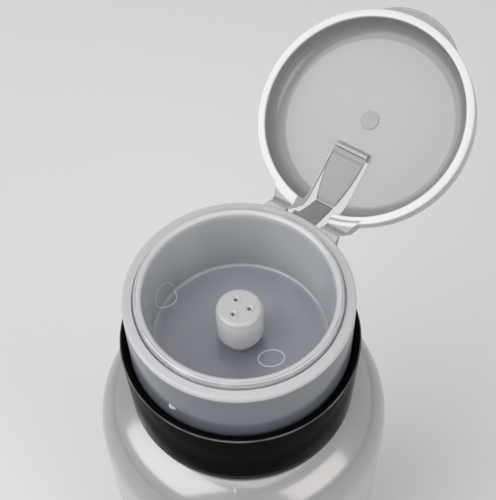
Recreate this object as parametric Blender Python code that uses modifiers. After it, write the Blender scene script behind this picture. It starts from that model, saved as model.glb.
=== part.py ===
"""Liquid dispenser bottle with a press-top pump and a flip lid.

Metres, +Z up. The origin is the centre of the bottle's base, the bottle's axis is Z,
and the lid's hinge lies towards +Y. The lid is modelled shut and turned open about its hinge.
"""
import math

import bmesh
import bpy
from mathutils import Matrix, Vector

# Fits and facets
FIT_GAP = 0.0003
CUT_OVERRUN = 0.0020
WELD_DISTANCE = 0.000001
LARGE_STEPS = 48
SMALL_STEPS = 32
FINE_STEPS = 16
ARC_STEPS = 3
SHOULDER_STEPS = 8
FILLET_LIMIT_SHARE = 0.45
SHARP_ANGLE = math.radians(32)

# Bottle
BODY_RADIUS = 0.0310
BODY_HEIGHT = 0.0858
BODY_WALL = 0.0010
BASE_THICKNESS = 0.0014
HEEL_RADIUS = 0.0035
SHOULDER_HEIGHT = 0.0138
SHOULDER_INSET = 0.0125
SHOULDER_POWER = 2.3
NECK_RADIUS = 0.0162
NECK_WALL = 0.0015
NECK_HEIGHT = 0.0073
NECK_EDGE_ROUND = 0.0003

# Clamped stack on the neck
GASKET_THICKNESS = 0.0008
FLANGE_THICKNESS = 0.0010
DECK_THICKNESS = 0.0012

# Press travel and the room that it leaves
PRESS_TRAVEL = 0.0040
PRESS_END_ROOM = 0.0004

# Head: outer cap
HEAD_RADIUS = 0.0220
LEDGE_THICKNESS = 0.0012
LEDGE_EDGE_ROUND = 0.0006
SKIRT_WALL = 0.0012
SKIRT_EDGE_ROUND = 0.0003
SKIRT_OVERLAP = 0.0046

# Head: dish
DISH_DEPTH = 0.0153
DISH_FLOOR_THICKNESS = 0.0010
DISH_FALL = 0.0004
DISH_WALL = 0.0011
DISH_TAPER = 0.0006
DISH_CORNER_ROUND = 0.0007
DISH_FLANGE_THICKNESS = 0.0010
LIP_WALL = 0.0016
LIP_HEIGHT = 0.0012
LIP_ROUND = 0.0007
LIP_CLEARANCE = 0.00055

# Screw collar
COLLAR_CLEARANCE = 0.0004
COLLAR_WALL = 0.0014
COLLAR_TAPER = 0.0005
COLLAR_HEIGHT = 0.0178
COLLAR_FOOT_GAP = 0.0008
COLLAR_TOP_ROUND = 0.0004
COLLAR_LEAD_IN = 0.0003
COLLAR_FOOT_ROUND = 0.0003
COLLAR_WEB = 0.0014
THREAD_ROOM = 0.0015
THREAD_SKIRT_WALL = 0.0013
DECK_HOLE_RADIUS = 0.0086

# Nozzle
NOZZLE_RADIUS = 0.00457
NOZZLE_LENGTH = 0.00825
NOZZLE_FLOOR_GAP = 0.0027
NOZZLE_TOP_WALL = 0.0012
NOZZLE_TOP_ROUND = 0.0010
NOZZLE_FOOT_ROUND = 0.0005
OUTLET_RADIUS = 0.00045
OUTLET_CIRCLE_RADIUS = 0.0019
OUTLET_COUNT = 3
OUTLET_TURN = math.radians(-95)

# Stem, its plug and its check ball
STEM_RADIUS = 0.0036
STEM_TOP_RADIUS = 0.0028
STEM_BORE_RADIUS = 0.0015
POCKET_WALL = 0.0006
POCKET_DEPTH = 0.0036
OUTLET_BALL_RADIUS = 0.0019
OUTLET_BALL_LIFT = 0.0010
PLUG_SHANK_RADIUS = 0.0012
PLUG_SHANK_LENGTH = 0.0060
PLUG_NECK_RADIUS = 0.0022
PLUG_HEAD_RADIUS = 0.0046
PLUG_HEAD_THICKNESS = 0.0016
PLUG_SPIGOT_LENGTH = 0.0010

# Housing and what it holds
HOUSING_BORE_RADIUS = 0.0061
HOUSING_WALL = 0.0012
HOUSING_BORE_DEPTH = 0.0333
HOUSING_CONE_HEIGHT = 0.0020
CHAMBER_WALL = 0.0012
VENT_RADIUS = 0.0006
VENT_DEPTH = 0.0040
GUIDE_RIM_WIDTH = 0.0021
GUIDE_RIM_THICKNESS = 0.0010
GUIDE_LENGTH = 0.0066
SEAL_THICKNESS = 0.0013
PISTON_SLIP = 0.0008
PISTON_HEIGHT = 0.0065
PISTON_LIP_HEIGHT = 0.0014
PISTON_WAIST_DEPTH = 0.0006
CAGE_THICKNESS = 0.0012
CAGE_RING_WIDTH = 0.0024
CAGE_BAR_WIDTH = 0.0010
INLET_BALL_RADIUS = 0.0022
INLET_BALL_LIFT = 0.0012
INLET_BALL_ROOM = 0.0006
INLET_PASSAGE_RADIUS = 0.0016
INLET_WEB = 0.0012

# Return spring
SPRING_RADIUS = 0.0040
SPRING_WIRE_RADIUS = 0.0004
SPRING_TURNS = 7
SPRING_POINTS_PER_TURN = 9

# Dip tube
TUBE_RADIUS = 0.0025
TUBE_WALL = 0.0007
SOCKET_DEPTH = 0.0080
SOCKET_WALL = 0.0011
TUBE_FLOOR_GAP = 0.0030
TUBE_MITRE = math.radians(45)

# Lid
LID_OPENING = math.radians(147.6)
HINGE_REACH = 0.0011
HINGE_DROP = 0.00125
LID_SEAT_GAP = 0.0003
LID_HEIGHT = 0.0071
LID_TOP_THICKNESS = 0.0013
LID_RIM_WALL = 0.00165
LID_CORNER_ROUND = 0.0032
LID_INNER_ROUND = 0.0031
LID_RIM_ROUND = 0.0003

# Thumb tab
TAB_PROTRUSION = 0.0023
TAB_HALF_WIDTH = 0.0105
TAB_THICKNESS = 0.0012
TAB_SEAT_HEIGHT = 0.0036

# Hinge ears, as distances from the middle plane
EAR_INNER = 0.00405
EAR_OUTER = 0.0080
LID_EAR_FLARE = 0.0026
HEAD_TAB_FLARE = 0.0007
EAR_HEIGHT = 0.0038
TAB_END_GAP = 0.00015
TAB_END_DROP = 0.0011
TAB_END_THICKNESS = 0.0009
TAB_ROOT_DEPTH = 0.0042
EAR_END_DROP = 0.0008
EAR_NOTCH = 0.0002
EAR_LIP_THICKNESS = 0.0003

# Slot and snap strap
SLOT_HALF_WIDTH = 0.00405
SLOT_INNER_END = 0.00745
STRAP_THICKNESS = 0.0007
STRAP_ROOT_REACH = 0.00075
STRAP_ROOT_DROP = 0.0009
STRAP_ROOT_WIDTH = 0.0053
STRAP_WAIST_WIDTH = 0.0041
STRAP_LID_WIDTH = 0.0073
STRAP_WAIST_Y = 0.0188
STRAP_WAIST_HEIGHT = 0.0059
STRAP_LID_HEIGHT = 0.0053
STRAP_LID_Y = 0.0075
STRAP_END_ROOM = 0.0003
STRAP_ROOT_TAIL = 0.0003
STRAP_MITRE_SHARE = 0.70
STRAP_SAG = 0.0009
STRAP_SAG_POWER = 0.5
STRAP_STEPS = 8
STRAP_BOSS_LENGTH = 0.0014
STRAP_BOSS_HEIGHT = 0.0015
STRAP_BOSS_SLOPE_SHARE = 0.55

# Heights that follow from the sizes above
SHOULDER_TOP = BODY_HEIGHT + SHOULDER_HEIGHT
NECK_TOP = SHOULDER_TOP + NECK_HEIGHT
GASKET_BOTTOM = NECK_TOP + FIT_GAP
FLANGE_BOTTOM = GASKET_BOTTOM + GASKET_THICKNESS + FIT_GAP
FLANGE_TOP = FLANGE_BOTTOM + FLANGE_THICKNESS
DECK_BOTTOM = FLANGE_TOP + FIT_GAP
DECK_TOP = DECK_BOTTOM + DECK_THICKNESS
DISH_UNDERSIDE = DECK_TOP + PRESS_TRAVEL + PRESS_END_ROOM
DISH_FLOOR = DISH_UNDERSIDE + DISH_FLOOR_THICKNESS
RIM = DISH_FLOOR + DISH_DEPTH
COLLAR_BOTTOM = SHOULDER_TOP + COLLAR_FOOT_GAP
COLLAR_TOP = COLLAR_BOTTOM + COLLAR_HEIGHT
SKIRT_BOTTOM = COLLAR_TOP - SKIRT_OVERLAP
COLLAR_WEB_TOP = SKIRT_BOTTOM - PRESS_TRAVEL - 2 * PRESS_END_ROOM

# Radii that follow
COLLAR_BORE = HEAD_RADIUS + COLLAR_CLEARANCE
COLLAR_TOP_RADIUS = COLLAR_BORE + COLLAR_WALL
THREAD_BORE = NECK_RADIUS + THREAD_ROOM
THREAD_SKIRT_RADIUS = THREAD_BORE + THREAD_SKIRT_WALL
LID_BORE = HEAD_RADIUS - LID_RIM_WALL
LIP_RADIUS = LID_BORE - LIP_CLEARANCE
DISH_MOUTH_RADIUS = LIP_RADIUS - LIP_WALL
DISH_FLOOR_RADIUS = DISH_MOUTH_RADIUS - DISH_TAPER

# Stem and housing heights that follow
NOZZLE_BOTTOM = DISH_FLOOR + NOZZLE_FLOOR_GAP
NOZZLE_TOP = NOZZLE_BOTTOM + NOZZLE_LENGTH
NOZZLE_CEILING = NOZZLE_TOP - NOZZLE_TOP_WALL
OUTLET_BALL_Z = NOZZLE_CEILING - FIT_GAP - OUTLET_BALL_LIFT - OUTLET_BALL_RADIUS
GUIDE_RIM_BOTTOM = FLANGE_TOP + FIT_GAP
GUIDE_BOTTOM = GUIDE_RIM_BOTTOM - GUIDE_LENGTH
SEAL_TOP = GUIDE_BOTTOM - FIT_GAP
SEAL_BOTTOM = SEAL_TOP - SEAL_THICKNESS
PISTON_TOP = SEAL_BOTTOM - PISTON_SLIP - FIT_GAP
PISTON_BOTTOM = PISTON_TOP - PISTON_HEIGHT
STEM_BOTTOM = PISTON_TOP + PISTON_SLIP + FIT_GAP
PLUG_HEAD_TOP = PISTON_BOTTOM - FIT_GAP
PLUG_HEAD_BOTTOM = PLUG_HEAD_TOP - PLUG_HEAD_THICKNESS
BORE_END = FLANGE_TOP - HOUSING_BORE_DEPTH
CAGE_BOTTOM = BORE_END + FIT_GAP
CAGE_TOP = CAGE_BOTTOM + CAGE_THICKNESS
INLET_BALL_Z = CAGE_BOTTOM - FIT_GAP - INLET_BALL_LIFT - INLET_BALL_RADIUS

MATERIALS = {
    "bottle": ("translucent_bottle", (0.66, 0.66, 0.67), 0.35, 0.0),
    "collar": ("black_gloss", (0.012, 0.012, 0.013), 0.12, 0.0),
    "head": ("clear_head", (0.50, 0.54, 0.60), 0.22, 0.0),
    "dish": ("clear_dish", (0.52, 0.55, 0.60), 0.20, 0.0),
    "nozzle": ("white_nozzle", (0.78, 0.79, 0.81), 0.30, 0.0),
    "lid": ("milky_lid", (0.80, 0.80, 0.81), 0.28, 0.0),
    "strap": ("strap_film", (0.55, 0.57, 0.59), 0.25, 0.0),
    "inner": ("pump_white", (0.85, 0.85, 0.84), 0.40, 0.0),
    "seal": ("seal_rubber", (0.70, 0.72, 0.70), 0.65, 0.0),
    "steel": ("spring_steel", (0.62, 0.62, 0.63), 0.22, 1.0),
    "tube": ("tube_clear", (0.78, 0.79, 0.80), 0.30, 0.0),
}


def clear_scene():
    """Remove every object that the file opened with."""
    for item in list(bpy.data.objects):
        bpy.data.objects.remove(item, do_unlink=True)


def make_collection(name):
    """Return a new collection that the scene shows."""
    group = bpy.data.collections.new(name)
    bpy.context.scene.collection.children.link(group)
    return group


def make_material(key):
    """Return the Principled material that a piece's finish names."""
    name, colour, roughness, metallic = MATERIALS[key]
    found = bpy.data.materials.get(name)
    if found:
        return found
    made = bpy.data.materials.new(name)
    made.use_nodes = True
    made.diffuse_color = (*colour, 1)
    shader = made.node_tree.nodes["Principled BSDF"]
    shader.inputs["Base Color"].default_value = (*colour, 1)
    shader.inputs["Roughness"].default_value = roughness
    shader.inputs["Metallic"].default_value = metallic
    return made


def link_mesh(name, mesh, group):
    """Link a mesh as a new object in a collection."""
    made = bpy.data.objects.new(name, mesh)
    group.objects.link(made)
    return made


def rounded(corners, closed=True):
    """Return the points of an outline whose corners (x, z, fillet radius) are rounded."""
    points = []
    count = len(corners)
    for index, (x, z, fillet) in enumerate(corners):
        at_end = not closed and index in (0, count - 1)
        if fillet == 0 or at_end:
            points.append(Vector((x, z)))
            continue
        corner = Vector((x, z))
        before = Vector(corners[index - 1][:2]) - corner
        after = Vector(corners[(index + 1) % count][:2]) - corner
        half = before.angle(after) / 2
        limit = FILLET_LIMIT_SHARE * min(before.length, after.length)
        reach = min(fillet / math.tan(half), limit)
        radius = reach * math.tan(half)
        middle = corner + (before.normalized() + after.normalized()).normalized() * radius / math.sin(half)
        first = corner + before.normalized() * reach - middle
        last = corner + after.normalized() * reach - middle
        sweep = first.angle(last)
        for step in range(ARC_STEPS + 1):
            part = step / ARC_STEPS
            spoke = first * math.sin((1 - part) * sweep) + last * math.sin(part * sweep)
            points.append(middle + spoke / math.sin(sweep))
    return points


def bake(item):
    """Replace an object's mesh by its evaluated mesh, welded, with smooth round faces."""
    bpy.context.view_layer.update()
    graph = bpy.context.evaluated_depsgraph_get()
    mesh = bpy.data.meshes.new_from_object(item.evaluated_get(graph))
    work = bmesh.new()
    work.from_mesh(mesh)
    bmesh.ops.remove_doubles(work, verts=work.verts, dist=WELD_DISTANCE)
    work.to_mesh(mesh)
    work.free()
    mesh.shade_smooth()
    mesh.set_sharp_from_angle(angle=SHARP_ANGLE)
    item.modifiers.clear()
    item.data = mesh
    return item


def turned(name, points, group, closed=True, steps=LARGE_STEPS):
    """Turn a profile about Z. It runs down its outer side and up its inner side."""
    mesh = bpy.data.meshes.new(name)
    last = len(points) - 1
    edges = [(index, index + 1) for index in range(last)]
    if closed:
        edges.append((last, 0))
    mesh.from_pydata([(point[0], 0, point[1]) for point in points], edges, [])
    item = link_mesh(name, mesh, group)
    screw = item.modifiers.new("Turn", "SCREW")
    screw.axis = "Z"
    screw.angle = math.tau
    screw.steps = steps
    screw.render_steps = steps
    screw.use_merge_vertices = True
    screw.merge_threshold = WELD_DISTANCE
    return bake(item)


def prism(name, outline, depth_from, depth_to, group, axis="Z"):
    """Extrude a flat outline between two depths along Z, or along X for a (y, z) outline."""
    curve = bpy.data.curves.new(name, "CURVE")
    curve.dimensions = "2D"
    curve.fill_mode = "BOTH"
    curve.extrude = (depth_to - depth_from) / 2
    spline = curve.splines.new("POLY")
    spline.points.add(len(outline) - 1)
    for point, place in zip(spline.points, outline):
        point.co = (place[0], place[1], 0, 1)
    spline.use_cyclic_u = True
    item = bpy.data.objects.new(name, curve)
    group.objects.link(item)
    shift = Matrix.Translation((0, 0, (depth_from + depth_to) / 2))
    turn = Matrix.Identity(4)
    if axis == "X":
        turn = Matrix(((0, 0, 1, 0), (1, 0, 0, 0), (0, 1, 0, 0), (0, 0, 0, 1)))
    return curve_to_mesh(item, group, turn @ shift)


def curve_to_mesh(item, group, place=None):
    """Make a mesh object of a curve object, weld its caps and remove the curve."""
    bpy.context.view_layer.update()
    graph = bpy.context.evaluated_depsgraph_get()
    mesh = bpy.data.meshes.new_from_object(item.evaluated_get(graph))
    work = bmesh.new()
    work.from_mesh(mesh)
    bmesh.ops.remove_doubles(work, verts=work.verts, dist=WELD_DISTANCE)
    bmesh.ops.recalc_face_normals(work, faces=work.faces)
    work.to_mesh(mesh)
    work.free()
    mesh.transform(place or item.matrix_world)
    name = item.name
    bpy.data.objects.remove(item, do_unlink=True)
    made = link_mesh(name, mesh, group)
    made.name = name
    return made


def boolean(target, other, operation, keep=False):
    """Apply one exact Boolean to the target, and remove the other object unless it is kept."""
    change = target.modifiers.new(operation.title(), "BOOLEAN")
    change.operation = operation
    change.solver = "EXACT"
    change.object = other
    bake(target)
    if not keep:
        bpy.data.objects.remove(other, do_unlink=True)
    return target


def cylinder(name, radius, bottom, top, group, centre=(0, 0), steps=LARGE_STEPS):
    """Add a cylinder along Z between two heights."""
    bpy.ops.mesh.primitive_cylinder_add(
        vertices=steps, radius=radius, depth=top - bottom, end_fill_type="NGON")
    item = bpy.context.object
    item.name = name
    item.data.transform(Matrix.Translation((centre[0], centre[1], (top + bottom) / 2)))
    for holder in list(item.users_collection):
        holder.objects.unlink(item)
    group.objects.link(item)
    return item


def box(name, low, high, group):
    """Add a box between its lowest and highest corner."""
    bpy.ops.mesh.primitive_cube_add(size=1)
    item = bpy.context.object
    item.name = name
    low, high = Vector(low), Vector(high)
    size = high - low
    item.data.transform(Matrix.Translation((low + high) / 2) @ Matrix.Diagonal((*size, 1)))
    for holder in list(item.users_collection):
        holder.objects.unlink(item)
    group.objects.link(item)
    return item


def ball(name, radius, height, group):
    """Add a ball on the axis."""
    bpy.ops.mesh.primitive_uv_sphere_add(segments=FINE_STEPS, ring_count=FINE_STEPS // 2, radius=radius)
    item = bpy.context.object
    item.name = name
    item.data.shade_smooth()
    item.location = (0, 0, height)
    for holder in list(item.users_collection):
        holder.objects.unlink(item)
    group.objects.link(item)
    return item


def shoulder_points(inset, wall):
    """Return the shoulder's curve from its top to the body, as a superellipse quarter."""
    run = SHOULDER_INSET + inset
    points = []
    for step in range(SHOULDER_STEPS + 1):
        angle = math.pi / 2 * (1 - step / SHOULDER_STEPS)
        across = math.cos(angle) ** (2 / SHOULDER_POWER) if step else 0
        up = math.sin(angle) ** (2 / SHOULDER_POWER) if step < SHOULDER_STEPS else 0
        points.append(Vector((BODY_RADIUS - wall - run * (1 - across), BODY_HEIGHT + (SHOULDER_HEIGHT - wall) * up)))
    return points


def make_bottle(parts):
    """Bottle: body, superellipse shoulder and plain neck, one wall thick and open at the neck."""
    inner_heel = rounded([
        (0, BASE_THICKNESS, 0),
        (BODY_RADIUS - BODY_WALL, BASE_THICKNESS, HEEL_RADIUS - BODY_WALL),
        (BODY_RADIUS - BODY_WALL, BODY_HEIGHT, 0)], closed=False)
    outer_heel = rounded([
        (BODY_RADIUS, BODY_HEIGHT, 0),
        (BODY_RADIUS, 0, HEEL_RADIUS),
        (0, 0, 0)], closed=False)
    inner_neck = NECK_RADIUS - NECK_WALL
    inner_shoulder = list(reversed(shoulder_points(0, BODY_WALL)))
    mouth = rounded([
        (inner_neck, SHOULDER_TOP - BODY_WALL, 0),
        (inner_neck, NECK_TOP, NECK_EDGE_ROUND),
        (NECK_RADIUS, NECK_TOP, NECK_EDGE_ROUND),
        (NECK_RADIUS, SHOULDER_TOP, 0)], closed=False)
    profile = inner_heel[:-1] + inner_shoulder + mouth + shoulder_points(0, 0) + outer_heel[1:]
    return turned("bottle", profile, parts, closed=False)


def make_collar(parts):
    """Screw collar: a tapered outer shroud joined by a web to the threaded skirt and its deck."""
    foot_radius = COLLAR_TOP_RADIUS - COLLAR_TAPER
    web_bottom = COLLAR_WEB_TOP - COLLAR_WEB
    corners = [
        (COLLAR_TOP_RADIUS, COLLAR_TOP, COLLAR_TOP_ROUND),
        (foot_radius, COLLAR_BOTTOM, COLLAR_FOOT_ROUND),
        (foot_radius - COLLAR_WALL, COLLAR_BOTTOM, 0),
        (foot_radius - COLLAR_WALL, web_bottom, 0),
        (THREAD_SKIRT_RADIUS, web_bottom, 0),
        (THREAD_SKIRT_RADIUS, COLLAR_BOTTOM, 0),
        (THREAD_BORE, COLLAR_BOTTOM, 0),
        (THREAD_BORE, DECK_BOTTOM, 0),
        (DECK_HOLE_RADIUS, DECK_BOTTOM, 0),
        (DECK_HOLE_RADIUS, DECK_TOP, 0),
        (THREAD_SKIRT_RADIUS, DECK_TOP, COLLAR_FOOT_ROUND),
        (THREAD_SKIRT_RADIUS, COLLAR_WEB_TOP, 0),
        (COLLAR_BORE, COLLAR_WEB_TOP, 0),
        (COLLAR_BORE, COLLAR_TOP - COLLAR_LEAD_IN, 0),
        (COLLAR_BORE + COLLAR_LEAD_IN, COLLAR_TOP, 0)]
    return turned("screw_collar", rounded(corners), parts)


def make_gasket(parts):
    """Liner ring between the neck's mouth and the housing's flange."""
    inner = HOUSING_BORE_RADIUS + HOUSING_WALL + FIT_GAP
    top = GASKET_BOTTOM + GASKET_THICKNESS
    corners = [(NECK_RADIUS, top, 0), (NECK_RADIUS, GASKET_BOTTOM, 0), (inner, GASKET_BOTTOM, 0), (inner, top, 0)]
    return turned("neck_gasket", rounded(corners), parts)


def make_housing(parts, cutters):
    """Pump housing: flange, barrel, valve chamber and tube socket, with a vent in the barrel."""
    barrel = HOUSING_BORE_RADIUS + HOUSING_WALL
    chamber = INLET_BALL_RADIUS + INLET_BALL_ROOM
    seat = seat_height(INLET_BALL_Z, INLET_BALL_RADIUS, INLET_PASSAGE_RADIUS)
    socket_top = seat - INLET_WEB
    socket_bottom = socket_top - SOCKET_DEPTH
    socket_bore = TUBE_RADIUS + FIT_GAP
    socket_outer = max(socket_bore + SOCKET_WALL, chamber + CHAMBER_WALL)
    corners = [
        (NECK_RADIUS, FLANGE_TOP, 0),
        (NECK_RADIUS, FLANGE_BOTTOM, 0),
        (barrel, FLANGE_BOTTOM, 0),
        (barrel, BORE_END - HOUSING_WALL, 0),
        (socket_outer, BORE_END - HOUSING_WALL - HOUSING_CONE_HEIGHT, 0),
        (socket_outer, socket_bottom, 0),
        (socket_bore, socket_bottom, 0),
        (socket_bore, socket_top, 0),
        (INLET_PASSAGE_RADIUS, socket_top, 0),
        (INLET_PASSAGE_RADIUS, seat, 0),
        (chamber, seat, 0),
        (chamber, BORE_END, 0),
        (HOUSING_BORE_RADIUS, BORE_END, 0),
        (HOUSING_BORE_RADIUS, FLANGE_TOP, 0)]
    item = turned("pump_housing", rounded(corners), parts, steps=SMALL_STEPS)
    vent_middle = FLANGE_BOTTOM - VENT_DEPTH
    vent = cylinder("vent_cutter", VENT_RADIUS, 0, barrel + CUT_OVERRUN, cutters, steps=FINE_STEPS // 2)
    vent.data.transform(Matrix.Translation((0, 0, vent_middle)) @ Matrix.Rotation(math.pi / 2, 4, "Y"))
    return boolean(item, vent, "DIFFERENCE")


def seat_height(ball_height, ball_radius, hole_radius):
    """Return the height of a hole's edge that lies one fit gap from a ball above it."""
    reach = ball_radius + FIT_GAP
    return ball_height - math.sqrt(reach ** 2 - hole_radius ** 2)


def make_guide(parts):
    """Stem guide: a rim on the housing's flange and a sleeve in its bore."""
    bore = STEM_RADIUS + FIT_GAP
    sleeve = HOUSING_BORE_RADIUS - FIT_GAP
    rim = HOUSING_BORE_RADIUS + GUIDE_RIM_WIDTH
    rim_top = GUIDE_RIM_BOTTOM + GUIDE_RIM_THICKNESS
    corners = [
        (rim, rim_top, 0),
        (rim, GUIDE_RIM_BOTTOM, 0),
        (sleeve, GUIDE_RIM_BOTTOM, 0),
        (sleeve, GUIDE_BOTTOM, 0),
        (bore, GUIDE_BOTTOM, 0),
        (bore, rim_top, 0)]
    return turned("stem_guide", rounded(corners), parts, steps=SMALL_STEPS)


def make_seal(parts):
    """Wiper ring under the guide."""
    outer = HOUSING_BORE_RADIUS - FIT_GAP
    bore = STEM_RADIUS + FIT_GAP
    corners = [(outer, SEAL_TOP, 0), (outer, SEAL_BOTTOM, 0), (bore, SEAL_BOTTOM, 0), (bore, SEAL_TOP, 0)]
    return turned("stem_seal", rounded(corners), parts, steps=SMALL_STEPS)


def make_piston(parts):
    """Piston: two sealing lips either side of a waist, bored for the plug's neck."""
    lip = HOUSING_BORE_RADIUS - FIT_GAP
    waist = lip - PISTON_WAIST_DEPTH
    bore = PLUG_NECK_RADIUS + FIT_GAP
    corners = [
        (lip, PISTON_TOP, 0),
        (lip, PISTON_TOP - PISTON_LIP_HEIGHT / 2, 0),
        (waist, PISTON_TOP - PISTON_LIP_HEIGHT, 0),
        (waist, PISTON_BOTTOM + PISTON_LIP_HEIGHT, 0),
        (lip, PISTON_BOTTOM + PISTON_LIP_HEIGHT / 2, 0),
        (lip, PISTON_BOTTOM, 0),
        (bore, PISTON_BOTTOM, 0),
        (bore, PISTON_TOP, 0)]
    return turned("piston", rounded(corners), parts, steps=SMALL_STEPS)


def make_stem(parts):
    """Hollow stem: a shoulder carries the dish, and a pocket in its top holds the outlet ball."""
    pocket = STEM_TOP_RADIUS - POCKET_WALL
    pocket_floor = seat_height(OUTLET_BALL_Z, OUTLET_BALL_RADIUS, STEM_BORE_RADIUS)
    top = pocket_floor + POCKET_DEPTH
    shoulder = DISH_UNDERSIDE - FIT_GAP
    corners = [
        (STEM_TOP_RADIUS, top, 0),
        (STEM_TOP_RADIUS, shoulder, 0),
        (STEM_RADIUS, shoulder, 0),
        (STEM_RADIUS, STEM_BOTTOM, 0),
        (STEM_BORE_RADIUS, STEM_BOTTOM, 0),
        (STEM_BORE_RADIUS, pocket_floor, 0),
        (pocket, pocket_floor, 0),
        (pocket, top, 0)]
    return turned("piston_stem", rounded(corners), parts, steps=SMALL_STEPS)


def make_plug(parts):
    """Stem plug: shank in the stem's bore, neck through the piston, head and spring spigot."""
    spigot = SPRING_RADIUS - SPRING_WIRE_RADIUS - FIT_GAP
    profile = rounded([
        (0, STEM_BOTTOM + PLUG_SHANK_LENGTH, 0),
        (PLUG_SHANK_RADIUS, STEM_BOTTOM + PLUG_SHANK_LENGTH, 0),
        (PLUG_SHANK_RADIUS, STEM_BOTTOM - FIT_GAP, 0),
        (PLUG_NECK_RADIUS, STEM_BOTTOM - FIT_GAP, 0),
        (PLUG_NECK_RADIUS, PLUG_HEAD_TOP, 0),
        (PLUG_HEAD_RADIUS, PLUG_HEAD_TOP, 0),
        (PLUG_HEAD_RADIUS, PLUG_HEAD_BOTTOM, 0),
        (spigot, PLUG_HEAD_BOTTOM, 0),
        (spigot, PLUG_HEAD_BOTTOM - PLUG_SPIGOT_LENGTH, 0),
        (0, PLUG_HEAD_BOTTOM - PLUG_SPIGOT_LENGTH, 0)], closed=False)
    return turned("stem_plug", profile, parts, closed=False, steps=SMALL_STEPS)


def make_cage(parts, cutters):
    """Ball cage: a ring on the bore's end with a cross over the inlet ball."""
    outer = HOUSING_BORE_RADIUS - FIT_GAP
    inner = outer - CAGE_RING_WIDTH
    corners = [(outer, CAGE_TOP, 0), (outer, CAGE_BOTTOM, 0), (inner, CAGE_BOTTOM, 0), (inner, CAGE_TOP, 0)]
    item = turned("ball_cage", rounded(corners), parts, steps=SMALL_STEPS)
    reach = outer - CAGE_RING_WIDTH / 2
    half = CAGE_BAR_WIDTH / 2
    for corner in ((reach, half), (half, reach)):
        low = (-corner[0], -corner[1], CAGE_BOTTOM)
        high = (corner[0], corner[1], CAGE_TOP)
        boolean(item, box("cage_bar", low, high, cutters), "UNION")
    return item


def make_tube(parts, cutters):
    """Dip tube, mitred at its foot so that it can't seal against the base."""
    socket_top = seat_height(INLET_BALL_Z, INLET_BALL_RADIUS, INLET_PASSAGE_RADIUS) - INLET_WEB
    top = socket_top - FIT_GAP
    bottom = BASE_THICKNESS + TUBE_FLOOR_GAP
    inner = TUBE_RADIUS - TUBE_WALL
    corners = [(TUBE_RADIUS, top, 0), (TUBE_RADIUS, bottom, 0), (inner, bottom, 0), (inner, top, 0)]
    item = turned("dip_tube", rounded(corners), parts, steps=FINE_STEPS)
    size = 4 * TUBE_RADIUS
    mitre = box("mitre_cutter", (-size, -size, -size), (size, size, 0), cutters)
    mitre.data.transform(Matrix.Translation((-TUBE_RADIUS, 0, bottom)) @ Matrix.Rotation(-TUBE_MITRE, 4, "Y"))
    return boolean(item, mitre, "DIFFERENCE")


def make_spring(parts):
    """Return spring: one open helix between the cage and the plug's head."""
    bottom = CAGE_TOP + FIT_GAP + SPRING_WIRE_RADIUS
    top = PLUG_HEAD_BOTTOM - FIT_GAP - SPRING_WIRE_RADIUS
    count = SPRING_TURNS * SPRING_POINTS_PER_TURN
    curve = bpy.data.curves.new("return_spring", "CURVE")
    curve.dimensions = "3D"
    curve.bevel_depth = SPRING_WIRE_RADIUS
    curve.bevel_resolution = 1
    curve.use_fill_caps = True
    spline = curve.splines.new("POLY")
    spline.points.add(count)
    for index, point in enumerate(spline.points):
        angle = math.tau * index / SPRING_POINTS_PER_TURN
        height = bottom + (top - bottom) * index / count
        point.co = (SPRING_RADIUS * math.cos(angle), SPRING_RADIUS * math.sin(angle), height, 1)
    item = bpy.data.objects.new("return_spring", curve)
    parts.objects.link(item)
    pitch = (top - bottom) / SPRING_TURNS
    rise = math.atan2(pitch, math.tau * SPRING_RADIUS)
    print("return_spring least gap to itself, mm:", round(1000 * (pitch * math.cos(rise) - 2 * SPRING_WIRE_RADIUS), 3))
    made = curve_to_mesh(item, parts)
    made.data.shade_smooth()
    return made


def make_dish(parts):
    """Press dish: seal lip, flange under the ledge, tapered wall and a floor that drains to the stem's hole."""
    flange_top = RIM - LEDGE_THICKNESS - FIT_GAP
    flange_bottom = flange_top - DISH_FLANGE_THICKNESS
    flange_radius = HEAD_RADIUS - SKIRT_WALL - FIT_GAP
    lip_top = RIM + LIP_HEIGHT
    hole = STEM_TOP_RADIUS + FIT_GAP
    corners = [
        (LIP_RADIUS, lip_top, LIP_ROUND),
        (LIP_RADIUS, flange_top, 0),
        (flange_radius, flange_top, 0),
        (flange_radius, flange_bottom, 0),
        (DISH_MOUTH_RADIUS + DISH_WALL, flange_bottom, 0),
        (DISH_FLOOR_RADIUS + DISH_WALL, DISH_UNDERSIDE, DISH_CORNER_ROUND + DISH_WALL),
        (hole, DISH_UNDERSIDE, 0),
        (hole, DISH_FLOOR - DISH_FALL, 0),
        (DISH_FLOOR_RADIUS, DISH_FLOOR, DISH_CORNER_ROUND),
        (DISH_MOUTH_RADIUS, lip_top, LIP_ROUND)]
    return turned("press_dish", rounded(corners), parts)


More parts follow.
